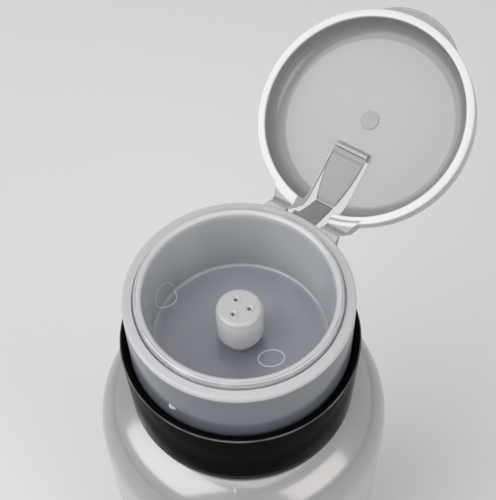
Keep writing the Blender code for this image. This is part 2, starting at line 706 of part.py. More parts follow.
def make_nozzle(parts, cutters):
    """Nozzle cap on the stem's end, with three outlets in its top."""
    bore = STEM_TOP_RADIUS + FIT_GAP
    profile = rounded([
        (0, NOZZLE_TOP, 0),
        (NOZZLE_RADIUS, NOZZLE_TOP, NOZZLE_TOP_ROUND),
        (NOZZLE_RADIUS, NOZZLE_BOTTOM, NOZZLE_FOOT_ROUND),
        (bore, NOZZLE_BOTTOM, 0),
        (bore, NOZZLE_CEILING, 0),
        (0, NOZZLE_CEILING, 0)], closed=False)
    item = turned("nozzle_cap", profile, parts, closed=False, steps=SMALL_STEPS)
    for index in range(OUTLET_COUNT):
        angle = OUTLET_TURN + math.tau * index / OUTLET_COUNT
        centre = (OUTLET_CIRCLE_RADIUS * math.cos(angle), OUTLET_CIRCLE_RADIUS * math.sin(angle))
        drill = cylinder("outlet_cutter", OUTLET_RADIUS, NOZZLE_CEILING - CUT_OVERRUN,
                         NOZZLE_TOP + CUT_OVERRUN, cutters, centre, FINE_STEPS // 2)
        boolean(item, drill, "DIFFERENCE")
    return item


def add_ears(item, outline, flare, core_radius, cutters):
    """Join two mirrored ears to a round shell: a side outline, flared in plan towards its root."""
    root, tip = min(point[0] for point in outline), max(point[0] for point in outline)
    low = min(point[1] for point in outline) - CUT_OVERRUN
    high = max(point[1] for point in outline) + CUT_OVERRUN
    plan = [
        (EAR_INNER, tip + CUT_OVERRUN),
        (EAR_OUTER, tip + CUT_OVERRUN),
        (EAR_OUTER, tip),
        (EAR_OUTER + flare, root),
        (EAR_OUTER + flare, root - CUT_OVERRUN),
        (EAR_INNER, root - CUT_OVERRUN)]
    for side in (1, -1):
        ear = prism("ear", outline, 0, EAR_OUTER + 2 * flare, cutters, axis="X")
        boolean(ear, prism("ear_plan", plan, low, high, cutters), "INTERSECT")
        boolean(ear, cylinder("ear_core", core_radius, low, high, cutters), "DIFFERENCE")
        if side < 0:
            ear.data.transform(Matrix.Scale(-1, 4, (1, 0, 0)))
            ear.data.flip_normals()
        boolean(item, ear, "UNION")
    return item


def make_head(parts, cutters):
    """Outer cap: ledge and skirt, with the two hinge tabs on its back."""
    ledge_bottom = RIM - LEDGE_THICKNESS
    skirt_bore = HEAD_RADIUS - SKIRT_WALL
    ledge_bore = LIP_RADIUS + FIT_GAP
    corners = [
        (HEAD_RADIUS, RIM, LEDGE_EDGE_ROUND),
        (HEAD_RADIUS, SKIRT_BOTTOM, SKIRT_EDGE_ROUND),
        (skirt_bore, SKIRT_BOTTOM, 0),
        (skirt_bore, ledge_bottom, 0),
        (ledge_bore, ledge_bottom, 0),
        (ledge_bore, RIM, 0)]
    item = turned("press_head", rounded(corners), parts)
    tip = HEAD_RADIUS + HINGE_REACH - TAB_END_GAP
    root = skirt_bore * math.cos(math.asin(EAR_OUTER / HEAD_RADIUS)) - SKIRT_WALL
    outline = [
        (root, RIM - LEDGE_EDGE_ROUND),
        (HEAD_RADIUS - SKIRT_WALL / 2, RIM - LEDGE_EDGE_ROUND),
        (HEAD_RADIUS, RIM - LEDGE_EDGE_ROUND),
        (tip, RIM - TAB_END_DROP),
        (tip, RIM - TAB_END_DROP - TAB_END_THICKNESS),
        (HEAD_RADIUS, RIM - TAB_ROOT_DEPTH),
        (root, RIM - TAB_ROOT_DEPTH)]
    return add_ears(item, outline, HEAD_TAB_FLARE, HEAD_RADIUS - SKIRT_WALL / 2, cutters)


def thumb_tab(cutters):
    """Crescent on the lid's front: the circle through its two ends and its tip, less the lid."""
    end_y = math.sqrt(HEAD_RADIUS ** 2 - TAB_HALF_WIDTH ** 2)
    rise = HEAD_RADIUS + TAB_PROTRUSION - end_y
    radius = (TAB_HALF_WIDTH ** 2 + rise ** 2) / (2 * rise)
    centre = (0, radius - HEAD_RADIUS - TAB_PROTRUSION)
    bottom = RIM + TAB_SEAT_HEIGHT
    top = bottom + TAB_THICKNESS
    item = cylinder("thumb_tab", radius, bottom, top, cutters, centre, LARGE_STEPS)
    core = cylinder("tab_core", HEAD_RADIUS - LID_RIM_WALL / 2, bottom - CUT_OVERRUN, top + CUT_OVERRUN, cutters)
    return boolean(item, core, "DIFFERENCE")


def lid_panel():
    """Return the height of the shut lid's inner panel."""
    return RIM + LID_SEAT_GAP + LID_HEIGHT - LID_TOP_THICKNESS


def make_lid(parts, cutters, hinge):
    """Flip lid, modelled shut: round-cornered cap, tab, slot, strap boss and hinge ears."""
    seat = RIM + LID_SEAT_GAP
    top = seat + LID_HEIGHT
    panel = lid_panel()
    profile = rounded([
        (0, top, 0),
        (HEAD_RADIUS, top, LID_CORNER_ROUND),
        (HEAD_RADIUS, seat, LID_RIM_ROUND),
        (LID_BORE, seat, LID_RIM_ROUND),
        (LID_BORE, panel, LID_INNER_ROUND),
        (0, panel, 0)], closed=False)
    item = turned("flip_lid", profile, parts, closed=False)
    boolean(item, thumb_tab(cutters), "UNION")
    slot = box("slot_cutter", (-SLOT_HALF_WIDTH, SLOT_INNER_END, RIM - CUT_OVERRUN),
               (SLOT_HALF_WIDTH, HEAD_RADIUS + CUT_OVERRUN, top + CUT_OVERRUN), cutters)
    boolean(item, slot, "DIFFERENCE")
    boss_face = STRAP_LID_Y - FIT_GAP
    boss_back = boss_face - STRAP_BOSS_LENGTH
    boss = [
        (boss_back, panel + LID_TOP_THICKNESS / 2),
        (boss_back, panel),
        (boss_face - STRAP_BOSS_SLOPE_SHARE * STRAP_BOSS_LENGTH, panel - STRAP_BOSS_HEIGHT),
        (boss_face, panel - STRAP_BOSS_HEIGHT),
        (boss_face, panel + LID_TOP_THICKNESS / 2)]
    half = STRAP_LID_WIDTH / 2
    boolean(item, prism("strap_boss", boss, -half, half, cutters, axis="X"), "UNION")
    tip = HEAD_RADIUS + HINGE_REACH + TAB_END_GAP
    inner_tip = HEAD_RADIUS + HINGE_REACH - TAB_END_GAP
    root = LID_BORE * math.cos(math.asin(EAR_OUTER / HEAD_RADIUS)) - LID_RIM_WALL
    ear = [
        (root, seat),
        (HEAD_RADIUS + EAR_NOTCH, seat),
        (inner_tip, RIM - EAR_END_DROP),
        (tip, RIM - EAR_END_DROP),
        (tip, RIM - EAR_END_DROP + EAR_LIP_THICKNESS),
        (HEAD_RADIUS, RIM + EAR_HEIGHT),
        (root, RIM + EAR_HEIGHT)]
    add_ears(item, ear, LID_EAR_FLARE, HEAD_RADIUS - LID_RIM_WALL / 2, cutters)
    return hang(item, hinge)


def hang(item, pivot):
    """Give an object its origin at a pivot empty, and parent it there."""
    item.data.transform(Matrix.Translation(-Vector(pivot["at"])))
    item.parent = pivot
    return item


def make_pivot(name, at, angle, group, parent=None):
    """Add an empty on a joint's axis, turned about X by an angle."""
    pivot = bpy.data.objects.new(name, None)
    group.objects.link(pivot)
    pivot["at"] = at
    pivot.location = Vector(at) - (Vector(parent["at"]) if parent else Vector())
    pivot.rotation_euler.x = angle
    pivot.parent = parent
    return pivot


def strap_link(name, length, start_width, tail, sag, fold, group, cutters):
    """Return a link along +Y from its pivot to the waist: a bent side outline, cut by a waisted plan."""
    half = STRAP_THICKNESS / 2
    last = length - STRAP_END_ROOM
    mitre = fold * STRAP_MITRE_SHARE * half
    upper, lower, right = [], [], [(start_width / 2, -tail - CUT_OVERRUN)]
    for step in range(STRAP_STEPS + 1):
        part = step / STRAP_STEPS
        along = (last + tail) * part - tail
        share = max(along, 0) / length
        bend = share ** STRAP_SAG_POWER
        height = -4 * sag * bend * (1 - bend)
        at_end = mitre if step == STRAP_STEPS else 0
        upper.append((along - at_end, height + half))
        lower.append((along + at_end, height - half))
        ease = (1 - part) ** 2
        width = (STRAP_WAIST_WIDTH + (start_width - STRAP_WAIST_WIDTH) * ease) / 2
        right.append((width, along))
    right.append((STRAP_WAIST_WIDTH / 2, length + CUT_OVERRUN))
    left = [(-across, along) for across, along in reversed(right)]
    item = prism(name, upper + lower[::-1], -start_width, start_width, group, axis="X")
    depth = half + sag + CUT_OVERRUN
    return boolean(item, prism("strap_plan", right + left, -depth, depth, cutters), "INTERSECT")


def make_straps(parts, hinge, guides, cutters):
    """Snap strap: the lower link hangs on the head, the upper link on the lid, open at the waist."""
    hinge_at = Vector(hinge["at"])
    opening = Matrix.Rotation(-LID_OPENING, 4, "X")
    waist_shut = Vector((0, STRAP_WAIST_Y, RIM + STRAP_WAIST_HEIGHT))
    waist = hinge_at + opening @ (waist_shut - hinge_at)
    root = Vector((0, HEAD_RADIUS + STRAP_ROOT_REACH, RIM - STRAP_ROOT_DROP))
    lower_run = waist - root
    lower_pivot = make_pivot("lower_pivot", tuple(root), math.atan2(lower_run.z, lower_run.y), guides)
    lower = strap_link("strap_lower", lower_run.length, STRAP_ROOT_WIDTH, STRAP_ROOT_TAIL, STRAP_SAG, 1, parts, cutters)
    lower.parent = lower_pivot
    lid_end = Vector((0, STRAP_LID_Y, RIM + STRAP_LID_HEIGHT))
    upper_run = waist_shut - lid_end
    upper_pivot = make_pivot(
        "upper_pivot", tuple(lid_end), math.atan2(upper_run.z, upper_run.y), guides, parent=hinge)
    upper = strap_link("strap_upper", upper_run.length, STRAP_LID_WIDTH, 0, 0, -1, parts, cutters)
    upper.parent = upper_pivot
    return lower, upper


def main():
    """Build every piece, give each its finish, and open the lid."""
    clear_scene()
    parts = make_collection("liquid_dispenser_bottle")
    guides = make_collection("guides")
    cutters = make_collection("cutters")
    hinge_at = (0, HEAD_RADIUS + HINGE_REACH, RIM - HINGE_DROP)
    hinge = make_pivot("lid_hinge", hinge_at, -LID_OPENING, guides)
    lower, upper = make_straps(parts, hinge, guides, cutters)
    dressed = [
        (make_bottle(parts), "bottle"),
        (make_collar(parts), "collar"),
        (make_gasket(parts), "seal"),
        (make_housing(parts, cutters), "inner"),
        (make_guide(parts), "collar"),
        (make_seal(parts), "seal"),
        (make_piston(parts), "inner"),
        (make_stem(parts), "inner"),
        (make_plug(parts), "inner"),
        (make_spring(parts), "steel"),
        (make_cage(parts, cutters), "inner"),
        (ball("inlet_ball", INLET_BALL_RADIUS, INLET_BALL_Z, parts), "steel"),
        (ball("outlet_ball", OUTLET_BALL_RADIUS, OUTLET_BALL_Z, parts), "steel"),
        (make_tube(parts, cutters), "tube"),
        (make_dish(parts), "dish"),
        (make_head(parts, cutters), "head"),
        (make_nozzle(parts, cutters), "nozzle"),
        (make_lid(parts, cutters, hinge), "lid"),
        (lower, "strap"),
        (upper, "strap")]
    for item, finish in dressed:
        item.data.materials.clear()
        item.data.materials.append(make_material(finish))


main()
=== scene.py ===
"""Looks of a liquid dispenser bottle with a press-top pump and a flip lid.

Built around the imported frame. Every visible piece is a fine surface worked out with numpy: a profile
turned about the bottle's axis, a section carried along a path, or an outline carried along a line.
Lengths are metres. The lid and its strap are shaped shut and then turned open about the lid's hinge.
"""

import logging
import math
from dataclasses import dataclass, field
from enum import Enum
from typing import Mapping, Sequence

import bpy
import numpy as np
from bpy.types import ID, Material, NodeSocket, Object, World
from mathutils import Matrix, Vector


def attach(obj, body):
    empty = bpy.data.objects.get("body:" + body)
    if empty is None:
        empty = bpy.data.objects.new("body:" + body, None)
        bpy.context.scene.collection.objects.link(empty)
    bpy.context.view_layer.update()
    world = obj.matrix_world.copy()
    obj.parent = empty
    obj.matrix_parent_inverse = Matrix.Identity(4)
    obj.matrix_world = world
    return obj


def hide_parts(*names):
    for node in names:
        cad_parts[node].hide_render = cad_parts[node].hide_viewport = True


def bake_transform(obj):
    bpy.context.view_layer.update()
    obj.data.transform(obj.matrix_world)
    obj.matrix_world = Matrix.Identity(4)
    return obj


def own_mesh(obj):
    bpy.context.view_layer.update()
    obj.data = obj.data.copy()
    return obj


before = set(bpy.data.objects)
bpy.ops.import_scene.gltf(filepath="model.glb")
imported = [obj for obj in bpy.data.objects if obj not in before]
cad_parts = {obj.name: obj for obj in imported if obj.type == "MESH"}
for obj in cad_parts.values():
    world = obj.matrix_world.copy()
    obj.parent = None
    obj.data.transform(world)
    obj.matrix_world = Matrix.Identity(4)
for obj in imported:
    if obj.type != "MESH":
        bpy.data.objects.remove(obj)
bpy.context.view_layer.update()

LOG = logging.getLogger("dispenser")

MM = 0.001
TAU = math.tau
AROUND = 192
AROUND_SMALL = 96
AROUND_BALL = 64
AROUND_HOLE = 32
AROUND_VENT = 24
AROUND_RIDGE = 10
BAND_AROUND = 28
BAND_POWERS = (0.22, 0.42)
ARC_STEP = math.radians(9)
SHARP = math.radians(38)
FILLET_SHARE = 0.47
OVERRUN = 1.0 * MM

# Fillets of moulded edges, from the sharpest to the softest.
HAIR = 0.1 * MM
FINE = 0.15 * MM
SMALL = 0.2 * MM
BROKEN = 0.25 * MM
MEDIUM = 0.3 * MM
SOFT = 0.4 * MM
ROUND = 0.5 * MM
FULL = 0.6 * MM

Pair = tuple[float, float]
Colour = tuple[float, float, float]
Corners = Sequence[tuple[float, float, float]]


class Carve(Enum):
    """What one solid does to another."""

    ADD = "UNION"
    CUT = "DIFFERENCE"
    KEEP = "INTERSECT"


class Slot(Enum):
    """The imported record's material slots."""

    BOTTLE = "translucent_bottle"
    COLLAR = "black_gloss"
    HEAD = "clear_head"
    DISH = "clear_dish"
    NOZZLE = "white_nozzle"
    LID = "milky_lid"
    STRAP = "strap_film"
    INNER = "pump_white"
    SEAL = "seal_rubber"
    STEEL = "spring_steel"
    TUBE = "tube_clear"


# ---- Sizes ----


@dataclass(frozen=True)
class Sizes:
    """Sizes that more than one sub-assembly needs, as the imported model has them."""

    fit: float = 0.3 * MM
    body_radius: float = 31.0 * MM
    body_height: float = 85.8 * MM
    shoulder_height: float = 13.8 * MM
    shoulder_inset: float = 12.5 * MM
    neck_radius: float = 16.2 * MM
    neck_height: float = 7.3 * MM
    gasket: float = 0.8 * MM
    flange: float = 1.0 * MM
    deck: float = 1.2 * MM
    travel: float = 4.0 * MM
    end_room: float = 0.4 * MM
    head_radius: float = 22.0 * MM
    ledge: float = 1.2 * MM
    skirt_wall: float = 1.2 * MM
    dish_depth: float = 15.3 * MM
    dish_floor_wall: float = 1.0 * MM
    lid_rim_wall: float = 1.65 * MM
    lip_clearance: float = 0.55 * MM
    stem_radius: float = 3.6 * MM
    stem_top_radius: float = 2.8 * MM
    stem_bore: float = 1.5 * MM
    nozzle_gap: float = 2.7 * MM
    nozzle_length: float = 8.25 * MM
    nozzle_top_wall: float = 1.2 * MM
    housing_bore: float = 6.1 * MM
    collar_height: float = 17.8 * MM
    collar_foot_gap: float = 0.8 * MM
    hinge_reach: float = 1.1 * MM
    hinge_drop: float = 1.25 * MM
    lid_opening: float = math.radians(147.6)
    ear_inner: float = 4.05 * MM
    ear_outer: float = 8.0 * MM

    @property
    def shoulder_top(self) -> float:
        """Height where the shoulder meets the neck."""
        return self.body_height + self.shoulder_height

    @property
    def neck_top(self) -> float:
        """Height of the bottle's mouth."""
        return self.shoulder_top + self.neck_height

    @property
    def flange_bottom(self) -> float:
        """Underside of the pump housing's flange."""
        return self.neck_top + self.gasket + 2 * self.fit

    @property
    def flange_top(self) -> float:
        """Upper side of the pump housing's flange."""
        return self.flange_bottom + self.flange

    @property
    def deck_bottom(self) -> float:
        """Underside of the collar's deck."""
        return self.flange_top + self.fit

    @property
    def deck_top(self) -> float:
        """Upper side of the collar's deck."""
        return self.deck_bottom + self.deck

    @property
    def dish_underside(self) -> float:
        """Underside of the dish's floor."""
        return self.deck_top + self.travel + self.end_room

    @property
    def dish_floor(self) -> float:
        """Upper side of the dish's floor at its wall."""
        return self.dish_underside + self.dish_floor_wall

    @property
    def rim(self) -> float:
        """Height of the ledge round the dish."""
        return self.dish_floor + self.dish_depth

    @property
    def collar_bottom(self) -> float:
        """Height of the collar's foot."""
        return self.shoulder_top + self.collar_foot_gap

    @property
    def collar_top(self) -> float:
        """Height of the collar's top."""
        return self.collar_bottom + self.collar_height

    @property
    def lid_bore(self) -> float:
        """Inner radius of the lid's rim."""
        return self.head_radius - self.lid_rim_wall

    @property
    def lip_radius(self) -> float:
        """Outer radius of the dish's lip."""
        return self.lid_bore - self.lip_clearance

    @property
    def nozzle_bottom(self) -> float:
        """Height of the nozzle's foot."""
        return self.dish_floor + self.nozzle_gap

    @property
    def nozzle_top(self) -> float:
        """Height of the nozzle's top."""
        return self.nozzle_bottom + self.nozzle_length

    @property
    def hinge(self) -> np.ndarray:
        """A point on the lid's hinge axis, which runs along X."""
        return np.array((0.0, self.head_radius + self.hinge_reach, self.rim - self.hinge_drop))


# ---- Shapes ----


def outline(corners: Corners, closed: bool = True) -> np.ndarray:
    """Round the corners of a flat outline.

    A rounded corner is the arc that touches both of its edges: each point is the sum of the two
    spokes from the arc's centre to its ends, weighted by the sines of the angles that are left.

    Args:
        corners: (x, y, fillet radius) of each corner.
        closed: whether the last corner runs on to the first one.

    Returns:
        The (n, 2) points of the rounded outline.
    """
    flat = np.array([corner[:2] for corner in corners], float)
    points: list[np.ndarray] = []
    for index, (_, _, fillet) in enumerate(corners):
        here = flat[index]
        if fillet == 0 or (not closed and index in (0, len(corners) - 1)):
            points.append(here[None])
            continue
        before = flat[index - 1] - here
        after = flat[(index + 1) % len(corners)] - here
        shorter = min(np.linalg.norm(before), np.linalg.norm(after))
        before, after = before / np.linalg.norm(before), after / np.linalg.norm(after)
        half = math.acos(float(np.clip(before @ after, -1, 1))) / 2
        reach = min(fillet / math.tan(half), FILLET_SHARE * shorter)
        radius = reach * math.tan(half)
        middle = here + (before + after) / np.linalg.norm(before + after) * radius / math.sin(half)
        first, last = here + before * reach - middle, here + after * reach - middle
        arc = math.pi - 2 * half
        share = np.linspace(0, 1, max(2, math.ceil(arc / ARC_STEP) + 1))[:, None]
        spokes = first * np.sin((1 - share) * arc) + last * np.sin(share * arc)
        points.append(middle + spokes / math.sin(arc))
    return np.concatenate(points)


def placed(name: str, data: ID) -> Object:
    """Link a new object that carries the data to the scene.

    Args:
        name: the object's name.
        data: its mesh, lamp or camera.

    Returns:
        The new object.
    """
    item = bpy.data.objects.new(name, data)
    bpy.context.scene.collection.objects.link(item)
    return item


def mesh_piece(name: str, points: np.ndarray, faces: list[list[int]]) -> Object:
    """Make an object of points and faces, with all faces outwards.

    The enclosed volume is the sum of (a x b) . c / 6 over each face's fan of triangles. Where it
    comes out negative, every face is turned over.

    Args:
        name: the object's name.
        points: (n, 3) points in the row frame.
        faces: point numbers of each face, all wound alike.

    Returns:
        The new object, at the origin.
    """
    sizes = np.array([len(face) for face in faces])
    flat = np.concatenate([np.asarray(face) for face in faces])
    starts = np.concatenate(([0], np.cumsum(sizes)[:-1]))
    fans = np.repeat(starts, sizes - 2)
    inside = np.arange(len(fans)) - np.repeat(np.cumsum(sizes - 2) - (sizes - 2), sizes - 2)
    a, b, c = (points[flat[fans + offset]] for offset in (0, inside + 1, inside + 2))
    if np.einsum("ij,ij->i", np.cross(a, b), c).sum() < 0:
        faces = [list(face)[::-1] for face in faces]
    mesh = bpy.data.meshes.new(name)
    mesh.from_pydata(points.tolist(), [], [list(map(int, face)) for face in faces])
    mesh.update()
    return smooth(placed(name, mesh))


def smooth(item: Object) -> Object:
    """Shade an object smooth, apart from its sharp edges.

    Args:
        item: the object.

    Returns:
        The same object.
    """
    item.data.shade_smooth()
    item.data.set_sharp_from_angle(angle=SHARP)
    return item


def grid_faces(rows: int, columns: int, wrap_rows: bool, wrap_columns: bool) -> list[list[int]]:
    """Return the four-sided faces of a grid of points that are numbered row by row.

    Args:
        rows: how many rows.
        columns: how many points in each.
        wrap_rows: whether the last row runs on to the first one.
        wrap_columns: whether each row's last point does.

    Returns:
        The point numbers of each face.
    """
    i = np.arange(rows if wrap_rows else rows - 1)[:, None]
    j = np.arange(columns if wrap_columns else columns - 1)[None, :]
    here, below = i * columns, (i + 1) % rows * columns
    beside = (j + 1) % columns
    return np.stack([here + j, below + j, below + beside, here + beside], -1).reshape(-1, 4).tolist()


def full_turn(count: int) -> np.ndarray:
    """Return the angles of a full turn in equal steps."""
    return TAU * np.arange(count) / count


def polar(radius: np.ndarray | float, angle: np.ndarray, height: np.ndarray | float) -> np.ndarray:
    """Return the points (r cos a, r sin a, z)."""
    return np.stack(np.broadcast_arrays(radius * np.cos(angle), radius * np.sin(angle), height), -1)


def sweep(name: str, stations: np.ndarray, closed: bool = False,
          tips: Sequence[Sequence[float]] | None = None) -> Object:
    """Skin a row of sections, (stations, section points, 3), and close its ends with fans.

    Args:
        name: the object's name.
        stations: the sections' points, station by station.
        closed: whether the last station runs on to the first one.
        tips: the middle points of the two fans; otherwise those of the end sections.

    Returns:
        The new object.
    """
    rows, columns, _ = stations.shape
    points = stations.reshape(-1, 3)
    faces = grid_faces(rows, columns, closed, True)
    if not closed:
        turn = np.arange(columns)
        onward = (turn + 1) % columns
        first, last, base = len(points), len(points) + 1, (rows - 1) * columns
        points = np.vstack([points, *(tips or (stations[0].mean(0), stations[-1].mean(0)))])
        faces += np.stack([turn * 0 + first, turn, onward], 1).tolist()
        faces += np.stack([base + turn, turn * 0 + last, base + onward], 1).tolist()
    return mesh_piece(name, points, faces)


def lathe(name: str, profile: np.ndarray, closed: bool = True, around: int = AROUND) -> Object:
    """Turn a profile about Z: point (i, j) is (r_i cos a_j, r_i sin a_j, z_i).

    Args:
        name: the object's name.
        profile: (n, 2) radii and heights, down the outer side and up the inner side.
        closed: whether the profile is a ring; otherwise its two ends lie on the axis.
        around: how many steps make a turn.

    Returns:
        The new object.
    """
    rows = profile if closed else profile[1:-1]
    tips = ((0, 0, profile[0, 1]), (0, 0, profile[-1, 1]))
    return sweep(name, polar(rows[:, :1], full_turn(around), rows[:, 1:]), closed, tips)


def turned(name: str, corners: Corners, around: int = AROUND) -> Object:
    """Turn a rounded outline about Z; one that starts on the axis also ends there."""
    closed = corners[0][0] > 0
    return lathe(name, outline(corners, closed), closed, around)


def extrude(name: str, flat: np.ndarray, start: float, end: float, along: str = "Z") -> Object:
    """Carry a flat outline along a line: (x, y) along Z, or (y, z) along X.

    Args:
        name: the object's name.
        flat: (n, 2) points of the outline.
        start: where it starts.
        end: where it ends.
        along: the line's axis.

    Returns:
        The new object.
    """
    lift = np.array((start, end))[:, None, None]
    spread = np.broadcast_to(flat, (2, *flat.shape))
    line = np.broadcast_to(lift, (2, len(flat), 1))
    order = (spread, line) if along == "Z" else (line, spread)
    points = np.concatenate(order, -1).reshape(-1, 3)
    count = len(flat)
    caps = [list(range(count)), list(range(2 * count - 1, count - 1, -1))]
    return mesh_piece(name, points, grid_faces(2, count, False, True) + caps)


def carve(item: Object, tool: Object, how: Carve) -> Object:
    """Apply one exact Boolean to an object, and remove the tool.

    Args:
        item: the object.
        tool: the other solid.
        how: what the tool does.

    Returns:
        The carved object.
    """
    change = item.modifiers.new("Carve", "BOOLEAN")
    change.operation = how.value
    change.solver = "EXACT"
    change.object = tool
    bpy.context.view_layer.update()
    graph = bpy.context.evaluated_depsgraph_get()
    item.data = bpy.data.meshes.new_from_object(item.evaluated_get(graph))
    item.modifiers.clear()
    bpy.data.objects.remove(tool, do_unlink=True)
    return smooth(item)


def turn_open(item: Object, pivot: np.ndarray, angle: float) -> Object:
    """Turn a piece's mesh about an axis along X through a pivot.

    Args:
        item: the piece.
        pivot: a point on the axis.
        angle: in radians.

    Returns:
        The same piece.
    """
    move = Matrix.Translation(pivot) @ Matrix.Rotation(angle, 4, "X") @ Matrix.Translation(-Vector(pivot))
    item.data.transform(move)
    return item


def ease(share: np.ndarray) -> np.ndarray:
    """Return 0 to 1 with level ends: 3 s^2 - 2 s^3."""
    share = np.clip(share, 0, 1)
    return share * share * (3 - 2 * share)


def helix_ridge(name: str, radius: float, depth: float, half_width: float, start: float,
                pitch: float, turns: float, steps: int = 260) -> Object:
    """Carry a rounded ridge up a helix; it runs out smoothly at both ends.

    Station k stands at angle a = 2 pi turns k / n and height start + pitch a / 2 pi. Its section is
    a half oval of the given depth, inwards where the depth is negative, sunk a little in the wall.

    Args:
        name: the object's name.
        radius: the wall's radius.
        depth: how far the ridge stands off the wall.
        half_width: half of its width at the wall.
        start: the height of its lower end.
        pitch: the rise for each turn.
        turns: how many turns it makes.
        steps: how many stations carry it.

    Returns:
        The new object.
    """
    root, sunk, end_width, run_out_rate, section = 0.25, 0.12, 0.3, 7, 16
    share = np.linspace(0, 1, steps)[:, None]
    angle = TAU * turns * share
    run_out = ease(np.minimum(share, 1 - share) * turns * run_out_rate)
    around = full_turn(section)[None]
    bulge = np.maximum(np.cos(around), -root)
    out = radius + depth * run_out * bulge - sunk * depth * (1 - run_out)
    width = half_width * (end_width + (1 - end_width) * run_out)
    return sweep(name, polar(out, angle, start + pitch * angle / TAU + width * np.sin(around)))


def ring_ridge(name: str, path: np.ndarray, normals: np.ndarray, width: float, rise: float) -> Object:
    """Carry a flat oval round a closed path on a surface, half sunk in it.

    Args:
        name: the object's name.
        path: (n, 3) points on the surface.
        normals: (n, 3) unit normals of the surface there.
        width: the oval's full width.
        rise: its height over the surface.

    Returns:
        The new object.
    """
    along = np.roll(path, -1, 0) - np.roll(path, 1, 0)
    across = np.cross(along, normals)
    across /= np.linalg.norm(across, axis=1, keepdims=True)
    around = full_turn(AROUND_RIDGE)
    section = np.cos(around)[None, :, None] * across[:, None] * width / 2
    section = section + np.sin(around)[None, :, None] * normals[:, None] * rise
    return sweep(name, path[:, None] + section, closed=True)


def band(name: str, line: np.ndarray, widths: np.ndarray, thickness: np.ndarray) -> Object:
    """Carry a rounded rectangle along a line in the YZ plane.

    The section is sign(c) |c|^0.22 across X and sign(s) |s|^0.42 along the line's own normal, of a
    full turn's cosine c and sine s: nearly a rectangle, with its edges broken.

    Args:
        name: the object's name.
        line: (n, 2) centre line, as y and z.
        widths: full widths along X.
        thickness: full thicknesses.

    Returns:
        The new object.
    """
    along = np.gradient(line, axis=0)
    along /= np.linalg.norm(along, axis=1, keepdims=True)
    normal = np.stack([-along[:, 1], along[:, 0]], 1)
    around = TAU * (np.arange(BAND_AROUND) + 0.5) / BAND_AROUND
    across, lift = (np.sign(wave) * np.abs(wave) ** power
                    for wave, power in zip((np.cos(around), np.sin(around)), BAND_POWERS))
    centre = line[:, None] + normal[:, None] * (lift[:, None] * thickness[:, None, None] / 2)
    x = widths[:, None, None] / 2 * across[:, None]
    return sweep(name, np.concatenate([x, centre], -1))


# ---- Finishes ----


class Signal:
    """A node's output that takes part in sums and products."""

    def __init__(self, graph: "Graph", socket: NodeSocket | None) -> None:
        self.graph = graph
        self.socket = socket

    def _maths(self, operation: str, *values: "Signal | float") -> "Signal":
        """Add a Math node."""
        return self.graph.node("ShaderNodeMath", {"operation": operation}, dict(enumerate(values)))

    def __add__(self, other: "Signal | float") -> "Signal":
        """Return self + other."""
        return self._maths("ADD", self, other)

    def __sub__(self, other: "Signal | float") -> "Signal":
        """Return self - other."""
        return self._maths("SUBTRACT", self, other)

    def __rsub__(self, other: float) -> "Signal":
        """Return other - self."""
        return self._maths("SUBTRACT", other, self)

    def __mul__(self, other: "Signal | float") -> "Signal":
        """Return self * other."""
        return self._maths("MULTIPLY", self, other)

    def __truediv__(self, other: "Signal | float") -> "Signal":
        """Return self / other."""
        return self._maths("DIVIDE", self, other)

    def __abs__(self) -> "Signal":
        """Return the size of self."""
        return self._maths("ABSOLUTE", self)

    def at_least(self, other: "Signal | float") -> "Signal":
        """Return the larger of two."""
        return self._maths("MAXIMUM", self, other)

    def clamped(self) -> "Signal":
        """Return self held between 0 and 1."""
        return self._maths("MINIMUM", self.at_least(0.0), 1.0)

    def near(self, middle: float, reach: float) -> "Signal":
        """Return 1 where self is at the middle, falling to 0 at a reach away."""
        return (1.0 - abs(self - middle) / reach).clamped()

    def above(self, limit: float, blend: float) -> "Signal":
        """Return 0 up to a limit, then rising to 1 within a blend."""
        return ((self - limit) / blend).clamped()

    def below(self, limit: float, blend: float) -> "Signal":
        """Return 0 down to a limit, then rising to 1 within a blend."""
        return ((limit - self) / blend).clamped()

    __radd__ = __add__
    __rmul__ = __mul__


